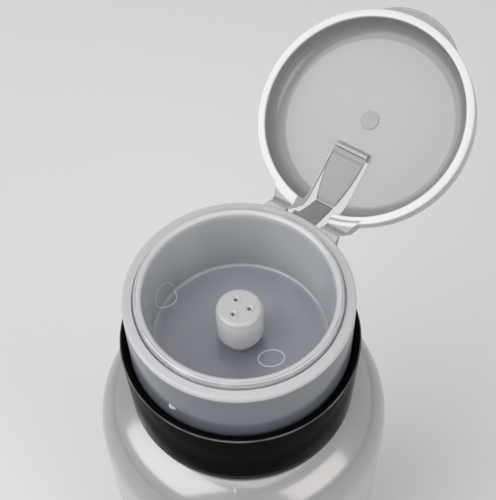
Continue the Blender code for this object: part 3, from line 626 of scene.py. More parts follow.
class Graph:
    """A node tree that is wired by calls."""

    def __init__(self, owner: Material | World) -> None:
        owner.use_nodes = True
        self.tree = owner.node_tree
        self.tree.nodes.clear()

    def node(self, kind: str, settings: Mapping[str, object] | None = None,
             inputs: Mapping[str | int, object] | None = None, output: str | int = 0) -> Signal:
        """Add a node.

        Args:
            kind: the node's type.
            settings: its properties, which are set first.
            inputs: a value or a Signal for each socket, by name or number.
            output: which output to hand back.

        Returns:
            The chosen output.
        """
        made = self.tree.nodes.new(kind)
        for key, value in (settings or {}).items():
            setattr(made, key, value)
        for key, value in (inputs or {}).items():
            if isinstance(value, Signal):
                self.tree.links.new(value.socket, made.inputs[key])
            else:
                made.inputs[key].default_value = value
        return Signal(self, made.outputs[output] if made.outputs else None)

    def mix(self, factor: "Signal | float", first: object, second: object) -> Signal:
        """Blend two colours."""
        return self.node("ShaderNodeMix", {"data_type": "RGBA"}, {0: factor, 6: first, 7: second}, 2)

    def blend(self, factor: Signal, first: Signal, second: Signal) -> Signal:
        """Blend two shaders."""
        return self.node("ShaderNodeMixShader", None, {0: factor, 1: first, 2: second})

    def principled(self, inputs: Mapping[str | int, object]) -> Signal:
        """Add the main shader."""
        return self.node("ShaderNodeBsdfPrincipled", None, inputs)

    def axis(self, place: Signal, name: str) -> Signal:
        """Return one coordinate of a place."""
        return self.node("ShaderNodeSeparateXYZ", None, {"Vector": place}, name)

    def radius(self, place: Signal) -> Signal:
        """Return the distance from the Z axis."""
        flat = self.node("ShaderNodeMapping", None, {"Vector": place, "Scale": (1, 1, 0)})
        return self.node("ShaderNodeVectorMath", {"operation": "LENGTH"}, {0: flat}, "Value")

    def noise(self, place: Signal, size: float, detail: float = 2.0, rough: float = 0.5) -> Signal:
        """Return cloudy noise from 0 to 1 whose patches are about size metres across."""
        return self.node("ShaderNodeTexNoise", None,
                         {"Vector": place, "Scale": 1 / size, "Detail": detail, "Roughness": rough})

    def place(self, scale: Colour = (1, 1, 1)) -> Signal:
        """Return the piece's own coordinates, stretched by a scale.

        Args:
            scale: the stretch along each axis.

        Returns:
            The coordinates.
        """
        place = self.node("ShaderNodeTexCoord", output="Object")
        if scale == (1, 1, 1):
            return place
        return self.node("ShaderNodeMapping", None, {"Vector": place, "Scale": scale})

    def bump(self, height: Signal, depth: float) -> Signal:
        """Return a bumped normal from a height of 0 to 1 that stands for depth metres."""
        return self.node("ShaderNodeBump", None, {"Height": height, "Distance": depth, "Strength": 1.0})

    def finish(self, shader: Signal) -> None:
        """Wire a shader to the output."""
        self.node("ShaderNodeOutputMaterial", None, {"Surface": shader})


def rgba(colour: Colour) -> tuple[float, float, float, float]:
    """Return a colour with full alpha."""
    return (*colour, 1.0)


@dataclass(frozen=True)
class Finish:
    """A named finish; each kind below wires a shader of its own."""

    name: str

    def surface(self, graph: Graph) -> Signal:
        """Return the finished shader."""
        raise NotImplementedError

    def material(self) -> Material:
        """Build the finish.

        Returns:
            The new material.
        """
        made = bpy.data.materials.new(self.name)
        graph = Graph(made)
        graph.finish(self.surface(graph))
        return made


@dataclass(frozen=True)
class Moulded(Finish):
    """Moulded plastic, from clear to solid: a clouded base under a smooth skin with fine scuffs."""

    colour: Colour
    clouded: Colour
    roughness: float = 0.3
    transmission: float = 0.5
    specular: float = 0.5
    ior: float = 1.49
    coat: float = 0.6
    coat_roughness: float = 0.09
    coat_ior: float = 1.6
    subsurface: float = 0.0
    subsurface_depth: float = 2.0 * MM
    subsurface_spread: Colour = (1.0, 1.0, 1.1)
    grain: float = 0.004 * MM
    grain_size: float = 0.5 * MM
    cloud_size: float = 9.0 * MM
    cloud_roughness: float = 0.08
    scuff_size: float = 1.1 * MM
    scuff_stretch: Colour = (1.0, 1.0, 0.12)
    scuff_level: float = 0.60
    scuff_gain: float = 3.0
    scuff_roughness: float = 0.06
    scuff_coat_loss: float = 0.25

    def cloud(self, graph: Graph, place: Signal) -> Signal:
        """Return the plastic's soft cloudiness."""
        return graph.noise(place, self.cloud_size, 3.0, 0.55)

    def skin(self, graph: Graph, base: "Signal | tuple[float, ...]", transmission: float) -> Signal:
        """Return the plastic's shader.

        Args:
            graph: the material's nodes.
            base: its colour.
            transmission: how much light goes straight through.

        Returns:
            The shader.
        """
        place = graph.place()
        cloud = self.cloud(graph, place)
        fine = graph.noise(place, self.grain_size, 2.0, 0.5)
        scuff = graph.noise(graph.place(self.scuff_stretch), self.scuff_size, 4.0, 0.7)
        worn = ((scuff - self.scuff_level) * self.scuff_gain).clamped()
        return graph.principled({
            "Base Color": base,
            "Roughness": self.roughness + (cloud - 0.5) * self.cloud_roughness + worn * self.scuff_roughness,
            "IOR": self.ior,
            "Transmission Weight": transmission,
            "Specular IOR Level": self.specular,
            "Subsurface Weight": self.subsurface,
            "Subsurface Radius": self.subsurface_spread,
            "Subsurface Scale": self.subsurface_depth,
            "Coat Weight": self.coat - worn * (self.scuff_coat_loss * self.coat),
            "Coat Roughness": self.coat_roughness,
            "Coat IOR": self.coat_ior,
            "Normal": graph.bump(fine, self.grain)})

    def clouds(self, graph: Graph) -> Signal:
        """Return the clouded colour."""
        return graph.mix(self.cloud(graph, graph.place()), rgba(self.colour), rgba(self.clouded))

    def surface(self, graph: Graph) -> Signal:
        """Return the finished shader; a finish with special places mixes them in here."""
        return self.skin(graph, self.clouds(graph), self.transmission)


@dataclass(frozen=True)
class LidPlastic(Moulded):
    """The lid's plastic: a whiter painted glow where it carries light to an edge, and painted shade in its
    deep side wall.
    """

    # Painted glow on the rim's end, the slot's cut edges and the tab's line.
    painted_edge_light_and_shade: Colour = (0.95, 0.95, 0.95)
    edge_transmission: float = 0.05
    # Painted shade on the deep side wall.
    painted_wall_shade: Colour = (0.42, 0.42, 0.425)
    opening: float = 0.0
    pivot: tuple[float, float, float] = (0.0, 0.0, 0.0)
    seat: float = 0.0
    bore: float = 20.35 * MM
    depth: float = 5.8 * MM
    rim_radius: float = 22.6 * MM
    rim_height: float = 0.75 * MM
    rim_blend: float = 0.4 * MM
    slot_half_width: float = 4.05 * MM
    slot_end: float = 7.45 * MM
    slot_line: float = 0.22 * MM
    slot_blend: float = 0.3 * MM
    slot_share: float = 0.8
    head_radius: float = 22.0 * MM
    tab: Pair = (0.0, 0.0)
    tab_inset: float = 0.30 * MM
    tab_line: float = 0.20 * MM
    tab_share: float = 0.35
    wall_reach: float = 2.95 * MM
    wall_blend: float = 0.25 * MM
    blend: float = 0.1 * MM

    def surface(self, graph: Graph) -> Signal:
        """Paint a white glow on the rim's end, the slot's cut edges and a line in the tab, and paint shade on
        the side wall.

        The piece's coordinates are turned back about the hinge to those of the shut lid, where the
        rim's end face is a height, the slot's edges are distances from the middle plane, and the
        side wall is where the radius is near the bore's.

        Args:
            graph: the material's nodes.

        Returns:
            The shader.
        """
        back = Matrix.Rotation(self.opening, 3, "X")
        shift = Vector(self.pivot) - back @ Vector(self.pivot)
        shut = graph.node("ShaderNodeMapping", None, {
            "Vector": graph.place(), "Rotation": (self.opening, 0, 0), "Location": tuple(shift)})
        x, y, z = (graph.axis(shut, name) for name in "XYZ")
        radius = graph.radius(shut)
        tab_radius, centre = self.tab
        beside_tab = graph.node("ShaderNodeMapping", None, {"Vector": shut, "Location": (0, -centre, 0)})

        # Masks: rim, slot and tab take the painted glow; wall, inside and under place the painted shade on
        # the side wall.
        rim = z.below(self.seat + self.rim_height, self.rim_height) * radius.below(
            self.rim_radius, self.rim_blend)
        slot = abs(x).near(self.slot_half_width, self.slot_line) * y.above(self.slot_end, self.slot_blend)
        tab = graph.radius(beside_tab).near(tab_radius - self.tab_inset, self.tab_line) * radius.above(
            self.head_radius + self.blend, 2 * self.blend)
        wall = radius.above(self.bore - self.wall_reach, self.wall_blend)
        inside = radius.below(self.bore + self.wall_blend, self.blend)
        under = z.below(self.seat + self.depth + 2 * self.blend, 2 * self.blend)

        # The clouded colour with painted shade on the side wall, then the whiter painted glow mixed over the
        # edges.
        base = graph.mix(wall * inside * under, self.clouds(graph), rgba(self.painted_wall_shade))
        painted_glow = self.skin(graph, rgba(self.painted_edge_light_and_shade), self.edge_transmission)
        share = rim.at_least(slot * self.slot_share).at_least(tab * self.tab_share)
        return graph.blend(share, self.skin(graph, base, self.transmission), painted_glow)


@dataclass(frozen=True)
class EdgeLit(Moulded):
    """Clear plastic with a painted tone at its upper edge and a painted glow line at its corner, painted
    shade in its floor and in its grooves, and a hazier lower wall.
    """

    # Painted edge tone: a whiter painted glow on the cap's ledge and the dish's lip and corner line, a darker
    # painted shade on the nozzle's top.
    painted_edge_light_and_shade: Colour = (0.93, 0.94, 0.96)
    edge_transmission: float = 0.25
    edge_height: float = 0.0
    edge_blend: float = 1.2 * MM
    corner_radius: float = 0.0
    corner_height: float = 0.0
    corner_half_width: float = 0.30 * MM
    corner_half_height: float = 0.45 * MM
    # Painted shade over the dish's floor.
    floor_colour: Colour = (0.33, 0.355, 0.40)
    floor_rise: float = 0.15 * MM
    floor_blend: float = 0.2 * MM
    floor_share: float = 0.6
    haze_colour: Colour = (0.66, 0.72, 0.76)
    haze_height: float = 10.0 * MM
    haze_fade: float = 0.7
    haze_share: float = 0.42
    # Painted shade in the lip's grooves.
    painted_groove_shade: Colour = (0.40, 0.40, 0.43)
    groove_radii: tuple[float, ...] = ()
    groove_half_width: float = 0.16 * MM
    patch_size: float = 5.0 * MM
    patch_gain: float = 4.0
    patch_level: float = 1.2

    def surface(self, graph: Graph) -> Signal:
        """Mix painted light and shade into the clear plastic, by height and by distance from the axis: the
        painted edge tone up top, a painted glow line at the corner, painted shade over the floor and in the
        grooves, and haze low on the wall.

        Args:
            graph: the material's nodes.

        Returns:
            The shader.
        """
        place = graph.place()
        height, radius = graph.axis(place, "Z"), graph.radius(place)
        # Painted edge tone above the edge height: painted glow on the cap and dish, painted shade on the
        # nozzle's top.
        edge = share = height.above(self.edge_height, self.edge_blend)
        tint: Signal | tuple[float, ...] = rgba(self.painted_edge_light_and_shade)
        if self.corner_radius:
            # line is the corner's painted glow line; low is the floor's painted shade; haze makes the lower
            # wall milkier.
            line = radius.near(self.corner_radius, self.corner_half_width) * height.near(
                self.corner_height, self.corner_half_height)
            low = height.below(self.corner_height + self.floor_rise, self.floor_blend)
            haze = height.below(self.corner_height + self.haze_height, self.haze_fade * self.haze_height)
            tint = graph.mix(haze * (1.0 - line), tint, rgba(self.haze_colour))
            tint = graph.mix(low * (1.0 - line), tint, rgba(self.floor_colour))
            share = share.at_least(line).at_least(haze * self.haze_share).at_least(low * self.floor_share)
        # Painted shade lines in the lip's grooves, broken into patches.
        for groove_radius in self.groove_radii:
            patches = graph.noise(place, self.patch_size, 3.0, 0.6)
            patchy = (patches * self.patch_gain - self.patch_level).clamped()
            groove = radius.near(groove_radius, self.groove_half_width)
            tint = graph.mix(groove * edge * patchy, tint, rgba(self.painted_groove_shade))
        clear = self.skin(graph, self.clouds(graph), self.transmission)
        return graph.blend(share, clear, self.skin(graph, tint, self.edge_transmission))


@dataclass(frozen=True)
class GlossBlack(Finish):
    """Polished black plastic with faint turning marks, fine scratches, a painted highlight along its upper
    edge and a painted reflection on its foot.
    """

    colour: Colour = (0.003, 0.003, 0.0032)
    scuffed: Colour = (0.012, 0.012, 0.0125)
    # Painted highlight along the upper edge, broken into patches.
    painted_edge_highlight: Colour = (0.20, 0.195, 0.19)
    # Painted reflection round the foot.
    painted_foot_reflection: Colour = (0.030, 0.030, 0.031)
    roughness: float = 0.08
    ior: float = 1.04
    streak_stretch: Colour = (1.0, 1.0, 14.0)
    streak_size: float = 3.0 * MM
    streak_depth: float = 0.002 * MM
    streak_roughness: float = 0.05
    speck_size: float = 0.35 * MM
    speck_level: float = 0.66
    speck_gain: float = 5.0
    speck_share: float = 0.5
    speck_roughness: float = 0.12
    patch_size: float = 6.0 * MM
    patch_gain: float = 2.6
    patch_level: float = 0.5
    edge_radius: float = 0.0
    edge_height: float = 0.0
    edge_half_width: float = 0.26 * MM
    edge_half_height: float = 0.30 * MM
    edge_roughness: float = 0.2
    wall: float = 1.4 * MM
    wall_blend: float = 0.2 * MM
    foot_height: float = 0.0
    foot_band: float = 1.8 * MM
    foot_blend: float = 0.25 * MM

    def surface(self, graph: Graph) -> Signal:
        """Mark the gloss with streaks and specks, paint a highlight along the upper edge and a reflection
        band on the foot.

        Args:
            graph: the material's nodes.

        Returns:
            The shader.
        """
        place = graph.place()
        streaks = graph.noise(graph.place(self.streak_stretch), self.streak_size, 3.0, 0.6)
        specks = graph.noise(place, self.speck_size, 2.0, 0.6)
        patches = graph.noise(place, self.patch_size, 3.0, 0.6)
        height, radius = graph.axis(place, "Z"), graph.radius(place)
        # rim and edge place the painted highlight; foot and outer place the painted reflection.
        rim = radius.near(self.edge_radius, self.edge_half_width) * height.near(
            self.edge_height, self.edge_half_height)
        edge = (rim * (patches * self.patch_gain - self.patch_level)).clamped()
        foot = height.below(self.foot_height + self.foot_band, self.foot_blend)
        outer = radius.above(self.edge_radius - self.wall, self.wall_blend)
        worn = ((specks - self.speck_level) * self.speck_gain).clamped()
        base = graph.mix(worn * self.speck_share, rgba(self.colour), rgba(self.scuffed))
        base = graph.mix(foot * outer, base, rgba(self.painted_foot_reflection))
        rough = self.roughness + streaks * self.streak_roughness + worn * self.speck_roughness
        return graph.principled({
            "Base Color": graph.mix(edge, base, rgba(self.painted_edge_highlight)),
            "Roughness": rough + edge * self.edge_roughness,
            "IOR": self.ior,
            "Normal": graph.bump(streaks, self.streak_depth)})


@dataclass(frozen=True)
class Rubber(Finish):
    """Matt elastomer with a fine grain."""

    colour: Colour = (0.62, 0.64, 0.62)
    shade: Colour = (0.50, 0.52, 0.50)
    roughness: float = 0.55
    grain_roughness: float = 0.15
    grain_size: float = 0.25 * MM
    grain_depth: float = 0.01 * MM
    cloud_size: float = 4.0 * MM

    def surface(self, graph: Graph) -> Signal:
        """Return a clouded, grainy shader.

        Args:
            graph: the material's nodes.

        Returns:
            The shader.
        """
        place = graph.place()
        grain = graph.noise(place, self.grain_size, 3.0, 0.6)
        return graph.principled({
            "Base Color": graph.mix(graph.noise(place, self.cloud_size), rgba(self.colour), rgba(self.shade)),
            "Roughness": self.roughness + grain * self.grain_roughness,
            "Normal": graph.bump(grain, self.grain_depth)})


@dataclass(frozen=True)
class Steel(Finish):
    """Drawn stainless steel with lines along the wire."""

    colour: Colour = (0.60, 0.60, 0.61)
    shade: Colour = (0.44, 0.44, 0.46)
    roughness: float = 0.16
    drawn_roughness: float = 0.2
    drawn_stretch: Colour = (1.0, 1.0, 8.0)
    drawn_size: float = 0.8 * MM
    drawn_depth: float = 0.004 * MM

    def surface(self, graph: Graph) -> Signal:
        """Return a shader with drawn lines.

        Args:
            graph: the material's nodes.

        Returns:
            The shader.
        """
        drawn = graph.noise(graph.place(self.drawn_stretch), self.drawn_size, 4.0, 0.6)
        return graph.principled({
            "Base Color": graph.mix(drawn, rgba(self.colour), rgba(self.shade)),
            "Metallic": 1.0,
            "Roughness": self.roughness + drawn * self.drawn_roughness,
            "Normal": graph.bump(drawn, self.drawn_depth)})


# ---- Pieces ----


def dress(item: Object, finish: Material, slot: Slot, body: str,
          *nodes: str) -> Object:
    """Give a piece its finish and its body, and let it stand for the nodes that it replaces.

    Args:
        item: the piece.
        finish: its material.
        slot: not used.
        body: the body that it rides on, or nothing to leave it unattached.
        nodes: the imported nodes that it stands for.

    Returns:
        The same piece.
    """
    item.data.materials.clear()
    item.data.materials.append(finish)
    if body:
        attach(item, body)
    if nodes:
        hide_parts(*nodes)
    LOG.info("%s rides on %s and replaces %s", item.name, body or "two bodies", nodes or "nothing")
    return item


@dataclass
class BottleShell:
    """Blow-moulded bottle: body, shoulder, threaded neck, parting line and pushed-up base."""

    sizes: Sizes
    finish: Material
    wall: float = 1.0 * MM
    base: float = 1.4 * MM
    heel: float = 3.5 * MM
    shoulder_power: float = 2.3
    neck_wall: float = 1.5 * MM
    push_up: float = 0.5 * MM
    push_up_radius: float = 24.5 * MM
    push_up_slope: float = 1.6 * MM
    push_up_fillets: Pair = (0.8 * MM, 1.2 * MM)
    parting_angle: float = math.radians(-58)
    parting_rise: float = 0.07 * MM
    parting_half_width: float = 0.35 * MM
    parting_room: float = 0.1 * MM
    thread_depth: float = 0.72 * MM
    thread_start: float = 1.5 * MM
    thread_half_width: float = 0.75 * MM
    thread_pitch: float = 3.0 * MM
    thread_turns: float = 1.5

    def shoulder(self, wall: float) -> np.ndarray:
        """Return the shoulder from its top to the body: a quarter of |x|^n + |z|^n = 1.

        Args:
            wall: how far inside the outer face.

        Returns:
            (33, 2) radii and heights.
        """
        s = self.sizes
        angle = np.linspace(math.pi / 2, 0, 33)
        across = np.abs(np.cos(angle)) ** (2 / self.shoulder_power)
        up = np.abs(np.sin(angle)) ** (2 / self.shoulder_power)
        return np.stack([s.body_radius - wall - s.shoulder_inset * (1 - across),
                         s.body_height + (s.shoulder_height - wall) * up], 1)

    def profile(self) -> np.ndarray:
        """Return the wall from the inner floor round the mouth to the underside.

        Returns:
            (n, 2) radii and heights.
        """
        s = self.sizes
        inner = s.body_radius - self.wall
        floor = outline([(0, self.base, 0), (inner, self.base, self.heel - self.wall),
                         (inner, s.body_height, 0)], closed=False)
        mouth = outline([
            (s.neck_radius - self.neck_wall, s.shoulder_top - self.wall, 0),
            (s.neck_radius - self.neck_wall, s.neck_top, MEDIUM),
            (s.neck_radius, s.neck_top, MEDIUM),
            (s.neck_radius, s.shoulder_top, 0)], closed=False)
        foot = outline([
            (s.body_radius, s.body_height, 0),
            (s.body_radius, 0, self.heel),
            (self.push_up_radius, 0, self.push_up_fillets[0]),
            (self.push_up_radius - self.push_up_slope, self.push_up, self.push_up_fillets[1]),
            (0, self.push_up, 0)], closed=False)
        return np.vstack([floor[:-1], self.shoulder(self.wall)[::-1], mouth, self.shoulder(0), foot[1:]])

    def shell(self) -> Object:
        """Turn the wall, and raise the parting line on both sides.

        The line's rise is a bell, exp(-(distance / half width)^2), of the distance round the wall.

        Returns:
            The bottle's shell.
        """
        item = lathe("bottle_shell", self.profile(), closed=False, around=4 * AROUND)
        count = len(item.data.vertices)
        points = np.empty(count * 3)
        item.data.vertices.foreach_get("co", points)
        points = points.reshape(-1, 3)
        radius = np.hypot(points[:, 0], points[:, 1])
        angle = np.arctan2(points[:, 1], points[:, 0]) - self.parting_angle
        distance = radius * np.abs(np.sin(angle))
        rise = self.parting_rise * np.exp(-(distance / self.parting_half_width) ** 2)
        s = self.sizes
        outside = (radius > s.body_radius - 0.5 * self.wall) | (
            (points[:, 2] > s.body_height) & (points[:, 2] < s.shoulder_top + self.parting_room)
            & (radius > self.inner_radius(points[:, 2]) + 0.5 * self.wall))
        points[:, :2] *= (1 + np.where(outside, rise / np.maximum(radius, MM), 0))[:, None]
        item.data.vertices.foreach_set("co", points.ravel())
        item.data.update()
        return item

    def inner_radius(self, height: np.ndarray) -> np.ndarray:
        """Return the shoulder's inner radius at a height.

        Args:
            height: heights above the bottle's foot.

        Returns:
            The radii there.
        """
        s = self.sizes
        up = np.clip((height - s.body_height) / (s.shoulder_height - self.wall), 0, 1)
        across = (1 - up ** self.shoulder_power) ** (1 / self.shoulder_power)
        return s.body_radius - self.wall - s.shoulder_inset * (1 - across)

    def build(self) -> list[Object]:
        """Build and dress the bottle's pieces.

        Returns:
            The dressed pieces.
        """
        s = self.sizes
        thread = helix_ridge("neck_thread", s.neck_radius, self.thread_depth, self.thread_half_width,
                             s.shoulder_top + self.thread_start, self.thread_pitch, self.thread_turns)
        return [dress(self.shell(), self.finish, Slot.BOTTLE, "bottle", "bottle"),
                dress(thread, self.finish, Slot.BOTTLE, "bottle")]


@dataclass
class ScrewCollar:
    """Glossy shroud joined by a web to the threaded skirt and its deck."""

    sizes: Sizes
    finish: Material
    clearance: float = 0.4 * MM
    wall: float = 1.4 * MM
    taper: float = 0.5 * MM
    web: float = 1.4 * MM
    thread_room: float = 1.5 * MM
    skirt_wall: float = 1.3 * MM
    hole_radius: float = 8.6 * MM
    web_top: float = 108.8 * MM
    bevel: float = 0.3 * MM
    thread_depth: float = 0.66 * MM
    thread_start: float = 1.2 * MM

    def build(self) -> list[Object]:
        """Build and dress the collar and its inner thread.

        Returns:
            The dressed pieces.
        """
        s = self.sizes
        bore = s.head_radius + self.clearance
        top, foot = bore + self.wall, bore + self.wall - self.taper
        thread_bore = s.neck_radius + self.thread_room
        skirt = thread_bore + self.skirt_wall
        corners = [
            (top, s.collar_top, SOFT), (foot, s.collar_bottom, MEDIUM),
            (foot - self.wall, s.collar_bottom, FINE),
            (foot - self.wall, self.web_top - self.web, ROUND),
            (skirt, self.web_top - self.web, ROUND), (skirt, s.collar_bottom, FINE),
            (thread_bore, s.collar_bottom, MEDIUM), (thread_bore, s.deck_bottom, MEDIUM),
            (self.hole_radius, s.deck_bottom, FINE), (self.hole_radius, s.deck_top, BROKEN),
            (skirt, s.deck_top, MEDIUM), (skirt, self.web_top, ROUND),
            (bore, self.web_top, ROUND), (bore, s.collar_top - self.bevel, FINE),
            (bore + self.bevel, s.collar_top, FINE)]
        shroud = turned("collar_shroud", corners, 2 * AROUND)
        thread = helix_ridge("collar_thread", thread_bore, -self.thread_depth, BottleShell.thread_half_width,
                             s.collar_bottom + self.thread_start, BottleShell.thread_pitch,
                             BottleShell.thread_turns)
        return [dress(shroud, self.finish, Slot.COLLAR, "collar", "screw_collar"),
                dress(thread, self.finish, Slot.COLLAR, "collar")]


@dataclass
class PumpEngine:
    """What hangs in the neck: housing, guide, seal, stem, plug, piston, spring, valves and tube."""

    sizes: Sizes
    white: Material
    black: Material
    rubber: Material
    steel: Material
    clear: Material
    edge: float = 0.12 * MM
    housing_wall: float = 1.2 * MM
    bore_depth: float = 33.3 * MM
    foot_taper: float = 2.0 * MM
    seat_wall: float = 1.2 * MM
    socket_wall: float = 1.1 * MM
    socket_depth: float = 8.0 * MM
    vent_radius: float = 0.6 * MM
    vent_drop: float = 4.0 * MM
    inlet_ball: float = 2.2 * MM
    inlet_drop: float = 1.2 * MM
    inlet_room: float = 0.6 * MM
    outlet_ball: float = 1.9 * MM
    outlet_room: float = 1.0 * MM
    pocket_depth: float = 3.6 * MM
    pocket_step: float = 0.6 * MM
    passage: float = 1.6 * MM
    tube_radius: float = 2.5 * MM
    tube_wall: float = 0.7 * MM
    tube_gap: float = 3.0 * MM
    guide_reach: float = 2.1 * MM
    guide_flange: float = 1.0 * MM
    guide_length: float = 6.6 * MM
    seal_height: float = 1.3 * MM
    slip: float = 0.8 * MM
    piston_height: float = 6.5 * MM
    piston_bore: float = 2.2 * MM
    piston_lip: float = 0.7 * MM
    piston_waist: float = 0.6 * MM
    plug_radius: float = 1.2 * MM
    plug_length: float = 6.0 * MM
    plug_head_radius: float = 4.6 * MM
    plug_head: float = 1.6 * MM
    spigot: float = 1.0 * MM
    cage_width: float = 2.4 * MM
    cage_height: float = 1.2 * MM
    cage_bar: float = 0.5 * MM
    spring_radius: float = 4.0 * MM
    wire: float = 0.4 * MM
    wire_around: int = 12
    spring_turns: int = 7
    turn_steps: int = 40

    @property
    def bore_end(self) -> float:
        """Lower end of the housing's bore."""
        return self.sizes.flange_top - self.bore_depth

    @property
    def inlet_z(self) -> float:
        """Height of the inlet ball's centre."""
        return self.bore_end - self.inlet_drop - self.inlet_ball

    @property
    def outlet_z(self) -> float:
        """Height of the outlet ball's centre."""
        s = self.sizes
        return s.nozzle_top - s.nozzle_top_wall - s.fit - self.outlet_room - self.outlet_ball

    @property
    def socket_top(self) -> float:
        """Upper end of the tube's socket."""
        return self.seat(self.inlet_z, self.inlet_ball, self.passage) - self.seat_wall

    @property
    def seal_top(self) -> float:
        """Upper side of the stem's seal."""
        return self.sizes.flange_top - self.guide_length

    @property
    def piston_top(self) -> float:
        """Upper side of the piston at rest."""
        return self.seal_top - self.seal_height - self.slip - self.sizes.fit

    def seat(self, centre: float, ball: float, hole: float) -> float:
        """Return the height of a hole's edge one fit gap under a ball."""
        return centre - math.sqrt((ball + self.sizes.fit) ** 2 - hole ** 2)

    def housing(self) -> Object:
        """Turn the housing and drill its vent.

        Returns:
            The housing.
        """
        s = self.sizes
        barrel = s.housing_bore + self.housing_wall
        chamber = self.inlet_ball + self.inlet_room
        seat = self.seat(self.inlet_z, self.inlet_ball, self.passage)
        bore = self.tube_radius + s.fit
        socket = max(bore + self.socket_wall, chamber + self.housing_wall)
        foot, socket_foot = self.bore_end - self.housing_wall, self.socket_top - self.socket_depth
        item = turned("pump_barrel", [
            (s.neck_radius, s.flange_top, FINE), (s.neck_radius, s.flange_bottom, FINE),
            (barrel, s.flange_bottom, MEDIUM), (barrel, foot, FULL),
            (socket, foot - self.foot_taper, FULL), (socket, socket_foot, MEDIUM),
            (bore, socket_foot, MEDIUM), (bore, self.socket_top, 0), (self.passage, self.socket_top, 0),
            (self.passage, seat, 0), (chamber, seat, 0), (chamber, self.bore_end, 0),
            (s.housing_bore, self.bore_end, 0), (s.housing_bore, s.flange_top, SMALL)])
        angle = full_turn(AROUND_VENT)
        hole = np.stack([self.vent_radius * np.cos(angle),
                         s.flange_bottom - self.vent_drop + self.vent_radius * np.sin(angle)], 1)
        return carve(item, extrude("vent", hole, 0, barrel + OVERRUN, "X"), Carve.CUT)

    def tube(self) -> Object:
        """Make the dip tube; its foot is cut at 45 degrees, so a point's foot height is x plus a constant.

        Returns:
            The tube.
        """
        top = self.socket_top - self.sizes.fit
        bottom = BottleShell.base + self.tube_gap
        angle, inner = full_turn(AROUND_SMALL), self.tube_radius - self.tube_wall
        rings = [polar(radius, angle, top if at_top else bottom + radius * np.cos(angle) + self.tube_radius)
                 for radius, at_top in ((self.tube_radius, 0), (self.tube_radius, 1), (inner, 1), (inner, 0))]
        return sweep("suction_tube", np.stack(rings), closed=True)

    def spring(self) -> Object:
        """Carry the wire up a helix; the section stands square to the path.

        Returns:
            The spring.
        """
        s = self.sizes
        bottom = self.bore_end + 2 * s.fit + self.cage_height + self.wire
        top = self.piston_top - self.piston_height - self.plug_head - 2 * s.fit - self.wire
        angle = np.linspace(0, TAU * self.spring_turns, self.spring_turns * self.turn_steps + 1)
        out = polar(1.0, angle, 0.0)
        path = self.spring_radius * out
        path[:, 2] = bottom + (top - bottom) * angle / angle[-1]
        along = np.gradient(path, axis=0)
        up = np.cross(out, along)
        up /= np.linalg.norm(up, axis=1, keepdims=True)
        around = full_turn(self.wire_around)[:, None]
        section = self.wire * (np.cos(around) * out[:, None] + np.sin(around) * up[:, None])
        return sweep("coil_spring", path[:, None] + section)

    def ball(self, name: str, radius: float, height: float) -> Object:
        """Turn a half circle into a ball.

        Args:
            name: the object's name.
            radius: its radius.
            height: its centre's height.

        Returns:
            The ball.
        """
        angle = np.linspace(math.pi / 2, -math.pi / 2, 33)
        return lathe(name, np.stack([radius * np.cos(angle), height + radius * np.sin(angle)], 1),
                     closed=False, around=AROUND_BALL)

    def cage(self) -> Object:
        """Turn the cage's ring and lay its cross on it.

        Returns:
            The cage.
        """
        s = self.sizes
        outer = s.housing_bore - s.fit
        inner = outer - self.cage_width
        low = self.bore_end + s.fit
        high = low + self.cage_height
        item = turned("valve_cage", [
            (outer, high, SMALL), (outer, low, SMALL), (inner, low, SMALL), (inner, high, SMALL)],
            AROUND_SMALL)
        half, reach, sunk = self.cage_bar, outer - self.cage_width / 2, 0.01 * MM
        for x, y in ((reach, half), (half, reach)):
            bar = outline([(-x, -y, 0), (x, -y, 0), (x, y, 0), (-x, y, 0)])
            carve(item, extrude("bar", bar, low + sunk, high - sunk), Carve.ADD)
        return item

